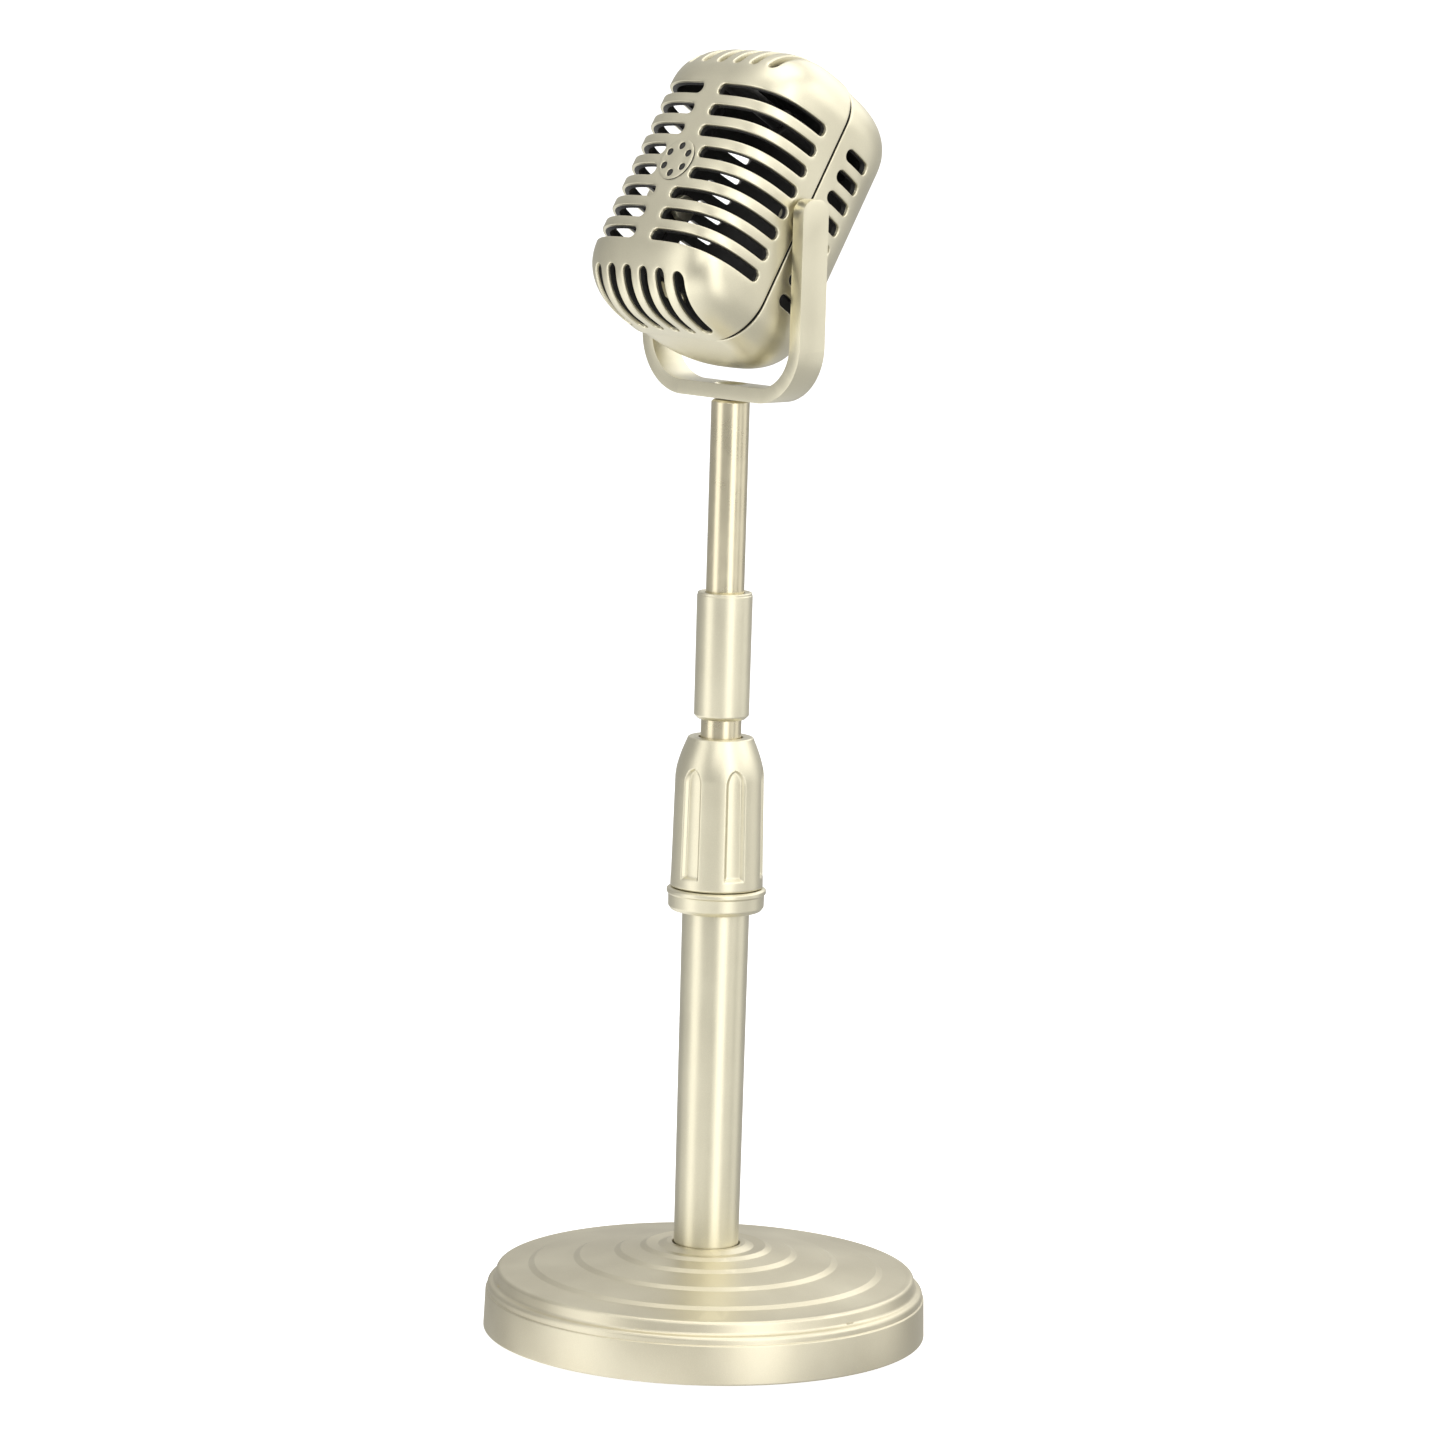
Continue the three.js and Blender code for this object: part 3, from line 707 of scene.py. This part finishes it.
# ---- mast
def inner_tube():
    radius, bottom, top = extent("inner_tube")
    bore = 3.5
    corners = [(bore, bottom, 0.2), (radius, bottom, 0.3), (radius, top, 0.3), (bore, top, 0.2)]
    finish_piece(turned("telescoping_tube", corners, 96), "mast", "brassy_metal", "inner_tube")


def connector_sleeve():
    radius, bottom, top = extent("connector_sleeve")
    step = 152
    bore, upper_bore = 4.75, 4.35
    mouth = top - 0.15
    corners = [
        (bore, bottom, 0.1),
        (radius - 0.9, bottom, 0.25),
        (radius - 0.05, bottom + 0.85, 0.5),
        (radius, top - 0.75, 0.2),
        (radius - 0.15, top - 0.6, 0.1),
        (radius - 0.1, top - 0.1, 0.25),
        (radius - 0.75, top, 0.2),
        (radius - 1.2, mouth, 0.15),
        (upper_bore, mouth, 0.15),
        (upper_bore, step, 0.1),
        (bore, step, 0.1),
    ]
    sleeve = turned("joining_sleeve", corners, 128)
    finish_piece(sleeve, "mast", "champagne_plastic", "connector_sleeve")


def upper_rod():
    radius, bottom, top = extent("upper_rod")
    thread = 1.7
    corners = [(0, bottom, 0), (radius - 0.3, bottom, 0.2), (radius, bottom + 0.4, 0.2)]
    corners += [(radius, top - 0.5, 0.3), (radius - 0.5, top, 0.2), (thread + 0.2, top, 0.15)]
    corners += [(thread, top - 0.4, 0.1), (thread, top - 11, 0.3), (0, top - 11.8, 0)]
    finish_piece(turned_solid("upper_tube", corners, 96), "mast", "brassy_metal", "upper_rod")


def side_faces(count):
    """The sides of a prism over a closed outline."""
    pairs = [(i, (i + 1) % count) for i in range(count)]
    return [(i, j, count + j, count + i) for i, j in pairs]


def yoke():
    """A strap bent to a U, with rounded arm ends, soft edges and holes for its pins and screw."""
    low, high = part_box("yoke")
    half = high.x / MM
    width = high.y / MM * 2
    underside = low.z / MM
    arm_top = high.z / MM
    inside = underside + YOKE_THICKNESS
    bend = 13
    end_corner = 3.1
    screw = {"shank": 1.9, "head": 3.7, "depth": 1.6}
    beyond = 5  # how far cutters reach past the strap

    def side(inset):
        reach = half - inset
        floor = underside + inset
        radius = bend - inset
        corners = [(-reach, arm_top, 0), (-reach, floor, radius), (reach, floor, radius)]
        return rounded(corners + [(reach, arm_top, 0)], False, 28)

    outline = side(0) + side(YOKE_THICKNESS)[::-1]
    count = len(outline)
    vertices = [(x, y, z) for y in (-width / 2, width / 2) for x, z in outline]
    faces = []
    for i in range(count // 2 - 1):
        quad = (i, i + 1, count - 2 - i, count - 1 - i)
        faces += [quad, tuple(count + k for k in reversed(quad))]
    strap = mesh_object("yoke_strap", vertices, faces + side_faces(count))
    right = [(width, underside - beyond, 0), (width, arm_top - 12, 0)]
    right += [(width / 2, arm_top - 10, 0), (width / 2, arm_top, end_corner)]
    left = [(-y, z, rounding) for y, z, rounding in right]
    profile = rounded(left[:1] + right + left[:0:-1], True, 10)
    boolean(strap, [prism_x(profile, half + beyond)], "INTERSECT")
    blind = half - 0.5
    hole = [(0, -blind, 0), (PIN_HOLE, -blind, 0), (PIN_HOLE, blind, 0), (0, blind, 0)]
    pin = moved(turned_solid("cutter", hole, 48), shift(0, 0, PIVOT) @ turn(90, "Y"))
    sink = [
        (0, underside - 1, 0),
        (screw["shank"], underside - 1, 0),
        (screw["shank"], inside - screw["depth"], 0),
        (screw["head"], inside, 0),
        (screw["head"], inside + 1, 0),
        (0, inside + 1, 0),
    ]
    boolean(strap, [pin, turned_solid("cutter", sink, 48)], "DIFFERENCE")
    bevelled(strap, 0.45)
    finish_piece(strap, "mast", "champagne_metal", "yoke")


def prism_x(outline, reach):
    """A closed prism along X over a (y, z) outline."""
    count = len(outline)
    vertices = [(x, y, z) for x in (-reach, reach) for y, z in outline]
    ends = [tuple(range(count)), tuple(range(2 * count - 1, count - 1, -1))]
    return mesh_object("cutter", vertices, ends + side_faces(count))


def screw_piece(name, corners, segments, reach, width, low, high):
    """A turned screw with a cross recess between two heights."""
    screw = turned_solid(name, corners, segments)
    across = block(-reach, reach, -width / 2, width / 2, low, high)
    along = block(-width / 2, width / 2, -reach, reach, low, high)
    boolean(screw, [across, along], "DIFFERENCE")
    smooth(screw, 30)
    return screw


def yoke_screw():
    low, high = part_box("yoke_screw")
    tip = low.z / MM
    top = high.z / MM
    head = high.x / MM
    shank = 1.4
    corners = [(0, tip, 0), (shank, tip, 0.4), (shank, top - 1.7, 0.2)]
    corners += [(head, top - 0.2, 0.1), (head, top, 0.1), (0, top, 0)]
    screw = screw_piece("yoke_fastener", corners, 64, 1.7, 0.6, top - 0.9, top + 1)
    finish_piece(screw, "mast", "zinc_steel", "yoke_screw")


def pivot_extent(node):
    """Inner end, outer end and radius of a CAD node on the pivot's axis."""
    low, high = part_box(node)
    ends = sorted((abs(low.x), abs(high.x)))
    return ends[0] / MM, ends[1] / MM, high.y / MM


def pivots():
    """A stepped pin and a spacer washer on each side of the head."""
    strap_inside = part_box("yoke")[1].x / MM - YOKE_THICKNESS
    pin_radius = PIN_HOLE - 0.1
    for side, sign in (("right", 1), ("left", -1)):
        inner, outer, head = pivot_extent("pivot_pin_" + side)
        step = inner + 1.6
        end = outer - 0.6
        corners = [(0, inner, 0), (head - 0.1, inner, 0.4), (head, step, 0.2)]
        corners += [(pin_radius, step, 0.1), (pin_radius, end, 0.35), (0, end, 0)]
        pin = turned_solid("pin_" + side, corners, 48)
        inner, _, rim = pivot_extent("pivot_washer_" + side)
        corners = [(PIN_HOLE, inner, 0.15), (rim, inner, 0.3)]
        corners += [(rim, strap_inside, 0.3), (PIN_HOLE, strap_inside, 0.15)]
        washer = turned("washer_" + side, corners, 64)
        for thing in (pin, washer):
            moved(thing, shift(0, 0, PIVOT) @ turn(90 * sign, "Y"))
        finish_piece(pin, "mast", "champagne_metal", "pivot_pin_" + side)
        finish_piece(washer, "mast", "champagne_plastic", "pivot_washer_" + side)


# ---- pierced sheets
EDGE = 0.28  # radius of the rounded edges of the slots
PAINT_DEPTH = 0.75  # how far the paint reaches into a slot
EDGE_STEPS = (0, 0.25, 0.55, 1)  # shares of that radius where the rounding has a line of points
BORDER_GAP, HOLE_GAP, LINE_GAP = 0.3, 0.33, 0.25  # from these lines to the nearest grid points
SKIN = 0.05  # least distance from the end of the paint to either face of the sheet


def in_box(points, loop, margin=0.0):
    """Which points lie in the box around a loop, grown by a margin."""
    low, high = loop.min(0) - margin, loop.max(0) + margin
    return np.flatnonzero(np.all((points > low) & (points < high), axis=1))


def inside_of(points, loop):
    """Which points lie inside a closed loop."""
    found = in_box(points, loop)
    x, y = points[found, 0][:, None], points[found, 1][:, None]
    x0, y0 = loop[:, 0][None], loop[:, 1][None]
    x1, y1 = np.roll(loop[:, 0], -1)[None], np.roll(loop[:, 1], -1)[None]
    crosses = (y0 > y) != (y1 > y)
    rise = np.where(y1 == y0, 1, y1 - y0)
    at = x0 + (y - y0) * (x1 - x0) / rise
    inside = np.zeros(len(points), bool)
    inside[found] = (np.sum(crosses & (x < at), axis=1) % 2) == 1
    return inside


def near(points, loop, distance):
    """Which points lie within a distance of a loop's points."""
    found = in_box(points, loop, distance)
    gaps = np.linalg.norm(points[found][:, None, :] - loop[None], axis=2)
    close = np.zeros(len(points), bool)
    close[found] = gaps.min(axis=1) < distance
    return close


def on_loop(chart, loop):
    """Which chart points are points of a loop."""
    known = {(round(x, 5), round(y, 5)) for x, y in loop}
    return np.array([(round(x, 5), round(y, 5)) in known for x, y in chart])


def pierced_sheet(
    name, border, holes, grid, surface, wall, edge_distance, paint_depth, edge=EDGE, lines=(), groove=0
):
    """A sheet of a given wall over a flat chart, with rounded holes, painted on its outside.

    border and each loop of a hole are closed lists of chart points. A hole is a list of loops,
    from its mouth outwards, one for each of EDGE_STEPS. surface(points) gives positions and
    outward normals, and edge_distance(points, positions) how far the border's edge is. Where
    that distance is below zero, the sheet is sunk by the depth of the groove and black.
    paint_depth(points) is how far the paint reaches down the sides of the holes. lines are
    closed loops of chart points that the mesh follows.
    """
    border = np.array(border, float)
    holes = [[np.array(loop, float) for loop in hole] for hole in holes]
    grid = grid[inside_of(grid, border) & ~near(grid, border, BORDER_GAP)]
    for hole in holes:
        grid = grid[~inside_of(grid, hole[-1]) & ~near(grid, hole[-1], HOLE_GAP)]
    for line in lines:
        grid = grid[~near(grid, line, LINE_GAP)]
    loops = [(border, np.inf)] + [(line, np.inf) for line in lines]
    for hole in holes:
        loops += [(loop, step * edge) for loop, step in zip(hole, EDGE_STEPS)]
    edges = []
    start = 0
    for loop, _ in loops:
        count = len(loop)
        edges += [(start + i, start + (i + 1) % count) for i in range(count)]
        start += count
    loops.append((grid, np.inf))
    points = np.concatenate([loop for loop, _ in loops])
    margins = np.concatenate([np.full(len(loop), margin) for loop, margin in loops])
    result = delaunay_2d_cdt([Vector(point) for point in points], edges, [], 0, DEGENERATE, True)
    chart = np.array([tuple(point) for point in result[0]], float)
    margin = np.array([min((margins[i] for i in found), default=np.inf) for found in result[3]])
    triangles = np.array([face for face in result[2] if len(face) == 3])
    centres = chart[triangles].mean(axis=1)
    keep = inside_of(centres, border)
    for hole in holes:
        keep &= ~inside_of(centres, hole[0])
    triangles = triangles[keep]
    used = np.unique(triangles)
    lookup = np.full(len(chart), -1)
    lookup[used] = np.arange(len(used))
    triangles = lookup[triangles]
    chart = chart[used]
    positions, normals = surface(chart)
    margin = np.minimum(margin[used], edge_distance(chart, positions))
    short = np.clip(edge - margin, 0, edge)
    drop = edge - np.sqrt(edge * edge - short * short)
    sunk = margin < -1e-3
    drop[sunk] = groove
    outer = positions - normals * drop[:, None]
    inner = positions - normals * wall
    count = len(chart)
    faces = [tuple(corners) for corners in triangles.tolist()]
    directed = dict.fromkeys(pair for a, b, c in faces for pair in ((a, b), (b, c), (c, a)))
    rim = [(b, a) for a, b in directed if (b, a) not in directed]
    ends = sorted({end for pair in rim for end in pair})
    paint_line = {end: 2 * count + i for i, end in enumerate(ends)}
    reach = np.clip(paint_depth(chart[ends]), drop[ends] + SKIN, wall - SKIN)
    painted = positions[ends] - normals[ends] * reach[:, None]
    faces += [(count + c, count + b, count + a) for a, b, c in faces]
    painted_from = len(faces)
    faces += [(b, a, paint_line[a], paint_line[b]) for b, a in rim]
    painted_to = len(faces)
    faces += [(paint_line[b], paint_line[a], count + a, count + b) for b, a in rim]
    outermost = on_loop(chart, border)
    slots = np.ones(len(faces), np.int32)
    # Faces of the sunk groove take the black slot: painted shade that draws the dark seam line.
    slots[: len(triangles)] = sunk[triangles].any(axis=1)
    slots[painted_from:painted_to] = [outermost[a] and outermost[b] for b, a in rim]
    sheet = mesh_object(name, np.concatenate([outer, inner, painted]), faces, 40, slots)
    for slot in ("champagne_plastic", "black_plastic"):
        sheet.data.materials.append(finishes[slot])
    return sheet


# ---- the head's surface
TABLE_POINTS = 4001  # of the arc length along the middle section
LINE_POINTS = 1200
HALVINGS = 50


class HalfHead:
    """Half of the head, with its open side on the XZ plane and its bulge towards -Y.

    Every level section is half of a superellipse, and it shrinks over the crown and the chin to
    a flat cap. Its chart has the arc length along the middle section, 0 at the front, and the
    arc length up the middle of the front, 0 at half height.
    """

    def __init__(self, form):
        self.form = form
        self.bend = max(form["corner"], form["crown"])
        self.bend_start = form["height"] - self.bend
        self.cap_depth = form["depth"] - form["crown"]
        self.cap_start = self.bend_start + self.bend * math.pi / 2
        self.reach_up = self.cap_start + self.cap_depth
        angles = (1 - np.cos(np.linspace(0, math.pi, TABLE_POINTS))) / 2 * math.pi
        x, y = self.section(angles, form["width"], form["depth"])
        steps = np.hypot(np.diff(x), np.diff(y))
        lengths = np.concatenate([[0], np.cumsum(steps)])
        self.reach_across = lengths[-1] / 2
        self.angle_table = angles[::-1]
        self.length_table = (self.reach_across - lengths)[::-1]

    def section(self, angles, width, depth):
        power = 2 / self.form["power"]
        cos, sin = np.cos(angles), np.clip(np.sin(angles), 0, 1)
        return width * np.sign(cos) * np.abs(cos) ** power, -depth * sin**power

    def level(self, up):
        """Height, width, depth and share of the cap at an arc length up the front."""
        form = self.form
        size = np.abs(up)
        turned_by = np.clip((size - self.bend_start) / self.bend, 0, math.pi / 2)
        bent = self.bend_start + self.bend * np.sin(turned_by)
        height = np.where(turned_by > 0, bent, size)
        cap = np.clip(1 - (size - self.cap_start) / self.cap_depth, 0, 1)

        def shrink(radius):
            over = np.clip((height - (form["height"] - radius)) / radius, 0, 1)
            return radius * (np.sqrt(1 - over * over) - 1)

        width = form["width"] + shrink(form["corner"])
        depth = form["depth"] + shrink(form["crown"])
        return height, width, depth, cap

    def arc_up(self, height):
        """Arc length up the front to a height."""
        over = np.clip((height - self.bend_start) / self.bend, 0, 1)
        bent = self.bend_start + self.bend * np.arcsin(over)
        return np.where(height > self.bend_start, bent, height)

    def angle(self, along):
        return np.interp(along, self.length_table, self.angle_table)

    def along(self, angle):
        return np.interp(-np.asarray(angle), -self.angle_table, self.length_table)

    def line_behind(self, behind, spacing=0.45):
        """The closed chart line on which the surface is at one distance behind the open side."""
        power = self.form["power"]
        ups = np.linspace(-self.cap_start, self.cap_start, LINE_POINTS)
        depths = self.level(ups)[2]
        right = self.along(np.arcsin((behind / depths) ** (power / 2)))
        across = np.linspace(right[-1], -right[-1], LINE_POINTS)
        reach = self.cap_depth * np.sin(self.angle(across)) ** (2 / power)
        over = self.reach_up - behind * self.cap_depth / np.maximum(reach, behind)
        runs = [(right, ups), (across, over), (-right[::-1], ups[::-1]), (across[::-1], -over[::-1])]
        line = np.concatenate([np.stack(run, axis=1) for run in runs])
        closed = np.vstack([line, line[:1]])
        lengths = np.concatenate([[0], np.cumsum(np.hypot(*np.diff(closed, axis=0).T))])
        steps = int(lengths[-1] / spacing)
        at = np.arange(steps) * lengths[-1] / steps
        return np.stack([np.interp(at, lengths, values) for values in closed.T], axis=1)

    def surface(self, chart):
        form = self.form
        along, up = chart[:, 0], chart[:, 1]
        height, width, depth, cap = self.level(up)
        angle = self.angle(along)
        x, y = self.section(angle, width, depth)
        y = y * cap
        power = form["power"]

        def slope(radius):
            over = np.clip((height - (form["height"] - radius)) / radius, 0, 1 - 1e-9)
            return -over / np.sqrt(1 - over * over)

        slope_x = np.abs(x / width) ** power * slope(form["corner"]) / width
        slope_y = np.abs(y / depth) ** power * slope(form["crown"]) / depth
        normal = np.stack(
            [
                np.sign(x) * np.abs(x / width) ** (power - 1) / width,
                np.sign(y) * np.abs(y / depth) ** (power - 1) / depth,
                -np.sign(up) * (slope_x + slope_y),
            ],
            axis=1,
        )
        normal[cap < 1] = 0
        normal[cap < 1, 2] = np.sign(up[cap < 1])
        normal /= np.linalg.norm(normal, axis=1)[:, None]
        return np.stack([x, y, np.sign(up) * height], axis=1), normal

    def along_at(self, across, up):
        """Chart distance along the section where the surface has this X."""
        width = self.level(up)[1]
        share = np.clip(np.abs(across) / width, 0, 1) ** (self.form["power"] / 2)
        angle = np.arccos(share)
        length = np.interp(angle, self.angle_table[::-1], self.length_table[::-1])
        return np.sign(across) * length

    def depth_at(self, across, up):
        """Distance from the open side where the surface has this X at an arc length up."""
        width, depth, cap = self.level(up)[1:]
        share = np.clip(1 - np.clip(np.abs(across) / width, 0, 1) ** self.form["power"], 0, 1)
        return depth * share ** (1 / self.form["power"]) * cap

    def up_at(self, across, behind):
        """Arc length up, over the crown, where the surface has this X and distance behind."""
        low = np.full(len(across), self.bend_start)
        high = np.full(len(across), self.reach_up)
        for _ in range(HALVINGS):
            middle = (low + high) / 2
            deeper = self.depth_at(across, middle) > behind
            low = np.where(deeper, middle, low)
            high = np.where(deeper, high, middle)
        return (low + high) / 2


def stadium(low, high, middle, half, margin):
    """A slot with round ends, from its low end to its high end along the first axis."""
    radius = half + margin
    low, high = low + half, high - half
    turns = np.linspace(-math.pi / 2, math.pi / 2, 13)
    arc = radius * np.stack([np.cos(turns), np.sin(turns)], axis=1)
    xs = np.linspace(low, high, max(3, int((high - low) / 0.7)))[1:-1]
    top, bottom = (np.stack([xs, np.full(len(xs), middle + y)], axis=1) for y in (radius, -radius))
    return np.concatenate([(high, middle) + arc, top[::-1], (low, middle) - arc, bottom])


def row_heights():
    return [ROW_MIDDLE + (row - (ROWS - 1) / 2) * ROW_PITCH for row in range(ROWS)]


def row_slots(inner_end, outer_end, beside_badge=0):
    """Slots on both sides in every row, between two chart distances from the middle."""
    holes = []
    for height in row_heights():
        inner = inner_end if abs(height - ROW_MIDDLE) > ROW_PITCH else max(inner_end, beside_badge)
        for side in (1, -1):
            low, high = sorted((side * inner, side * outer_end))
            holes.append([stadium(low, high, height, SLOT_HALF, step * EDGE) for step in EDGE_STEPS])
    return holes


def end_slots(head):
    """Upright slots over the crown and under the chin."""
    holes = []
    for i in range(END_SLOT["count"]):
        across = (i - (END_SLOT["count"] - 1) / 2) * END_SLOT["pitch"]
        for sign, half in ((1, END_SLOT["crown_half"]), (-1, END_SLOT["chin_half"])):
            start = END_SLOT["inner"] + sign * ROW_MIDDLE + half
            rim = END_SLOT["rim"] + half
            radii = [half + step * EDGE for step in EDGE_STEPS]
            holes.append([end_loop(head, across, radius, start, rim) * (1, sign) for radius in radii])
    return holes


def end_loop(head, across, radius, start, rim, sides=24):
    """An outline of an upright slot: level circles at its ends, sides straight from the front."""
    turns = np.linspace(-math.pi / 2, math.pi / 2, 11)
    lower_x = across + radius * np.sin(turns)
    lower_up = head.arc_up(start - radius * np.cos(turns))
    upper_x = across - radius * np.sin(turns)
    upper_up = head.up_at(upper_x, rim - radius * np.cos(turns))
    right_ups = np.linspace(lower_up[0], upper_up[0], sides + 2)[1:-1]
    left_ups = np.linspace(upper_up[-1], lower_up[0], sides + 2)[1:-1]
    right_x, left_x = np.full(sides, across + radius), np.full(sides, across - radius)
    xs = np.concatenate([lower_x, right_x, upper_x, left_x])
    ups = np.concatenate([lower_up, right_ups, upper_up, left_ups])
    return np.stack([head.along_at(xs, ups), ups], axis=1)


def round_hole(centre, radius, edge=EDGE, points=40):
    turns = np.arange(points) * 2 * math.pi / points
    ring = np.stack([np.cos(turns), np.sin(turns)], axis=1)
    return [np.array(centre) + (radius + step * edge) * ring for step in EDGE_STEPS]


def shell_border(head):
    """The chart's rectangle, with a half-round notch on each side for the pivot pin."""
    across, up = head.reach_across, head.reach_up
    fine = 0.6

    def run(start, end):
        steps = max(2, int(abs(end - start) / fine))
        return np.linspace(start, end, steps + 1)[:-1]

    turns = np.linspace(-math.pi / 2, math.pi / 2, 15)
    border = []
    for side in (1, -1):
        notch = side * PIN_HOLE
        border += [(x, -side * up) for x in run(-side * across, side * across)]
        border += [(side * across, y) for y in run(-side * up, -HEAD_LIFT - notch)]
        border += [
            (side * across - notch * math.cos(a), -HEAD_LIFT + notch * math.sin(a)) for a in turns
        ]
        border += [(side * across, y) for y in run(-HEAD_LIFT + notch, side * up)[1:]]
    return border


def grid_points(columns, rows):
    return np.stack([values.ravel() for values in np.meshgrid(columns, rows)], axis=1)


def shell_grid(head):
    spacing = 0.85
    reaches = (head.reach_across, head.reach_up)
    return grid_points(*(np.linspace(-end, end, int(2 * end / spacing))[1:-1] for end in reaches))


def shell_paint(chart):
    """How far the paint reaches into the holes: right through those of the crown."""
    return np.where(chart[:, 1] > CROWN_FOOT, WALL, PAINT_DEPTH)


def shell(name, form, holes_of, lip=0.0):
    """One half of the head, with a lip of a given width sunk along its open side, black as painted shade of the
    seam line.
    """
    head = HalfHead(form)
    lines = [head.line_behind(lip + share * EDGE) for share in EDGE_STEPS if lip + share > 0]
    if lip:
        lines.append(head.line_behind(lip - SEAM_STEP))

    def to_seam(chart, positions):
        from_pin = np.hypot(np.abs(chart[:, 0]) - head.reach_across, chart[:, 1] + HEAD_LIFT)
        distance = -positions[:, 1] - lip
        distance = np.where(np.abs(distance) < SEAM_STEP / 2, 0, distance)
        return np.where(from_pin < PIN_HOLE + 0.6, np.inf, distance)

    return pierced_sheet(
        name,
        shell_border(head),
        holes_of(head),
        shell_grid(head),
        head.surface,
        WALL,
        to_seam,
        shell_paint,
        lines=lines,
        groove=SEAM_GROOVE["depth"],
    )


def head_place(*after):
    """From the head's own frame to the row frame."""
    place = shift(0, 0, PIVOT) @ turn(-LEAN, "X") @ shift(0, 0, HEAD_LIFT)
    for matrix in after:
        place = place @ matrix
    return place


def with_posts(name, grille, post, segments):
    """A shell with two posts, given as corners of (radius, distance from the seam, rounding)."""
    parts = [grille]
    for height in (POST_HEIGHT, -POST_HEIGHT):
        post_piece = turned("post", post, segments, 3)
        parts.append(moved(post_piece, shift(0, 0, height) @ turn(90, "X")))
    whole = joined(name, parts)
    mark_black(whole)
    return whole


def front_shell():
    def holes(head):
        end = head.reach_across - FRONT_SLOT_END
        return row_slots(RIB_HALF, end, BADGE_RADIUS + BADGE_MARGIN) + end_slots(head)

    reach = FRONT["depth"] - WALL
    bore = 1.3
    post = [(bore, 0.2, 0.2), (2.1, 0.2, 0.3), (2.2, reach, 0)]
    post += [(0, reach, 0), (0, 8, 0), (bore, 7.4, 0.2)]
    grille = with_posts("front_grille", shell("front_grille", FRONT, holes), post, 40)
    moved(grille, head_place(shift(0, -MATE, 0)))
    finish_piece(grille, "head", "champagne_plastic", "front_shell")


def mark_black(thing):
    """Posts lie wholly inside the head, so all of their faces are unpainted."""
    for polygon in thing.data.polygons:
        x, y, z = polygon.center / MM
        beside = max(abs(x), abs(abs(z) - POST_HEIGHT))
        if beside < POST_RADIUS and -POST_REACH < y < 0:
            polygon.material_index = 1


def rear_shell():
    well = 2.7
    bore = 1.4
    well_floor = 3

    def holes(head):
        start, end = head.reach_across - SIDE_SLOT[1], head.reach_across - SIDE_SLOT[0]
        up = float(head.arc_up(POST_HEIGHT))
        return row_slots(start, end) + [round_hole((0, up), well), round_hole((0, -up), well)]

    reach = REAR["depth"] - 1.6
    post = [(bore, 0.2, 0.15), (3.2, 0.2, 0.3), (3.3, reach, 0)]
    post += [(well, reach, 0), (well, well_floor, 0.2), (bore, well_floor, 0.15)]
    half = shell("rear_grille", REAR, holes, SEAM_GROOVE["width"])
    grille = with_posts("rear_grille", half, post, 48)
    moved(grille, head_place(shift(0, MATE, 0), turn(180, "Z")))
    finish_piece(grille, "head", "champagne_plastic", "rear_shell")


def rosette():
    """A thin round badge with a soft rim and six holes, on the front rib, over a black disc that is painted shade
    for the dark hollow behind the holes.
    """
    radius = BADGE_RADIUS
    hole = 0.88
    ring = 3.3
    thickness = 0.38
    plate = 0.3
    boss = {"radius": 1.9, "height": 0.05}  # the slight bulge in the middle
    rounding = 0.12
    spacing = 0.3
    border = round_hole((0, 0), radius, points=72)[0]
    holes = []
    for i in range(6):
        angle = math.radians(60 * i + 30)
        centre = (ring * math.cos(angle), ring * math.sin(angle))
        holes.append(round_hole(centre, hole, rounding, 20))
    lines = np.arange(-radius, radius, spacing)

    def surface(points):
        from_middle = np.hypot(points[:, 0], points[:, 1])

        def relief(at):
            return boss["height"] * (np.clip(1 - (at / boss["radius"]) ** 2, 0, 1) - 1)

        step = 0.02
        fall = (relief(from_middle + step) - relief(np.abs(from_middle - step))) / (2 * step)
        out = np.where(from_middle > 1e-6, 1 / np.maximum(from_middle, 1e-6), 0)
        x, z = points.T
        normal = np.stack([-fall * x * out, -np.ones(len(points)), -fall * z * out], axis=1)
        normal /= np.linalg.norm(normal, axis=1)[:, None]
        return np.stack([x, -thickness - relief(from_middle), z], axis=1), normal

    def to_rim(chart, positions):
        return radius - np.hypot(chart[:, 0], chart[:, 1])

    def paint(chart):
        return np.full(len(chart), plate / 2)

    grid = grid_points(lines, lines)
    badge = pierced_sheet("round_badge", border, holes, grid, surface, plate, to_rim, paint, rounding)
    # Black disc under the holes: painted shade standing in for the dark hollow seen through them.
    disc = radius - 0.5
    corners = [(0, 0.02, 0), (disc, 0.02, 0), (disc, 0.07, 0), (0, 0.07, 0)]
    hole_shade = turned_solid("badge_hole_shade", corners)
    moved(hole_shade, turn(90, "X"))
    for thing in (badge, hole_shade):
        moved(thing, head_place(shift(0, -FRONT["depth"] - MATE, ROW_MIDDLE)))
    finish_piece(badge, "head", "champagne_plastic", "front_rosette")
    finish_piece(hole_shade, "head", "black_plastic")


def shell_screws():
    shank, head = 1.1, 2.3
    corners = [(0, -7, 0), (shank, -6.2, 0.2), (shank, 3.4, 0.1), (head, 3.4, 0.15)]
    corners += [(head, 4.2, 0.4), (1.2, 5, 0.6), (0, 5, 0)]
    for name, height in (("top", POST_HEIGHT), ("bottom", -POST_HEIGHT)):
        screw = screw_piece("shell_fastener_" + name, corners, 48, 1.25, 0.5, 4.2, 6)
        moved(screw, head_place(shift(0, 0, height), turn(-90, "X")))
        finish_piece(screw, "head", "zinc_steel", "shell_screw_" + name)


# ---- build
camera()
studio()
base_cover()
base_sole()
lower_tube()
clutch_body()
clutch_grip()
inner_tube()
connector_sleeve()
upper_rod()
yoke()
yoke_screw()
pivots()
front_shell()
rear_shell()
rosette()
shell_screws()

for row in frame["record"]["subparts"]:
    node = frame["nodes"].get(row["node"])
    if node:
        node.data.materials.clear()
        node.data.materials.append(finishes[row["material_slot"]])
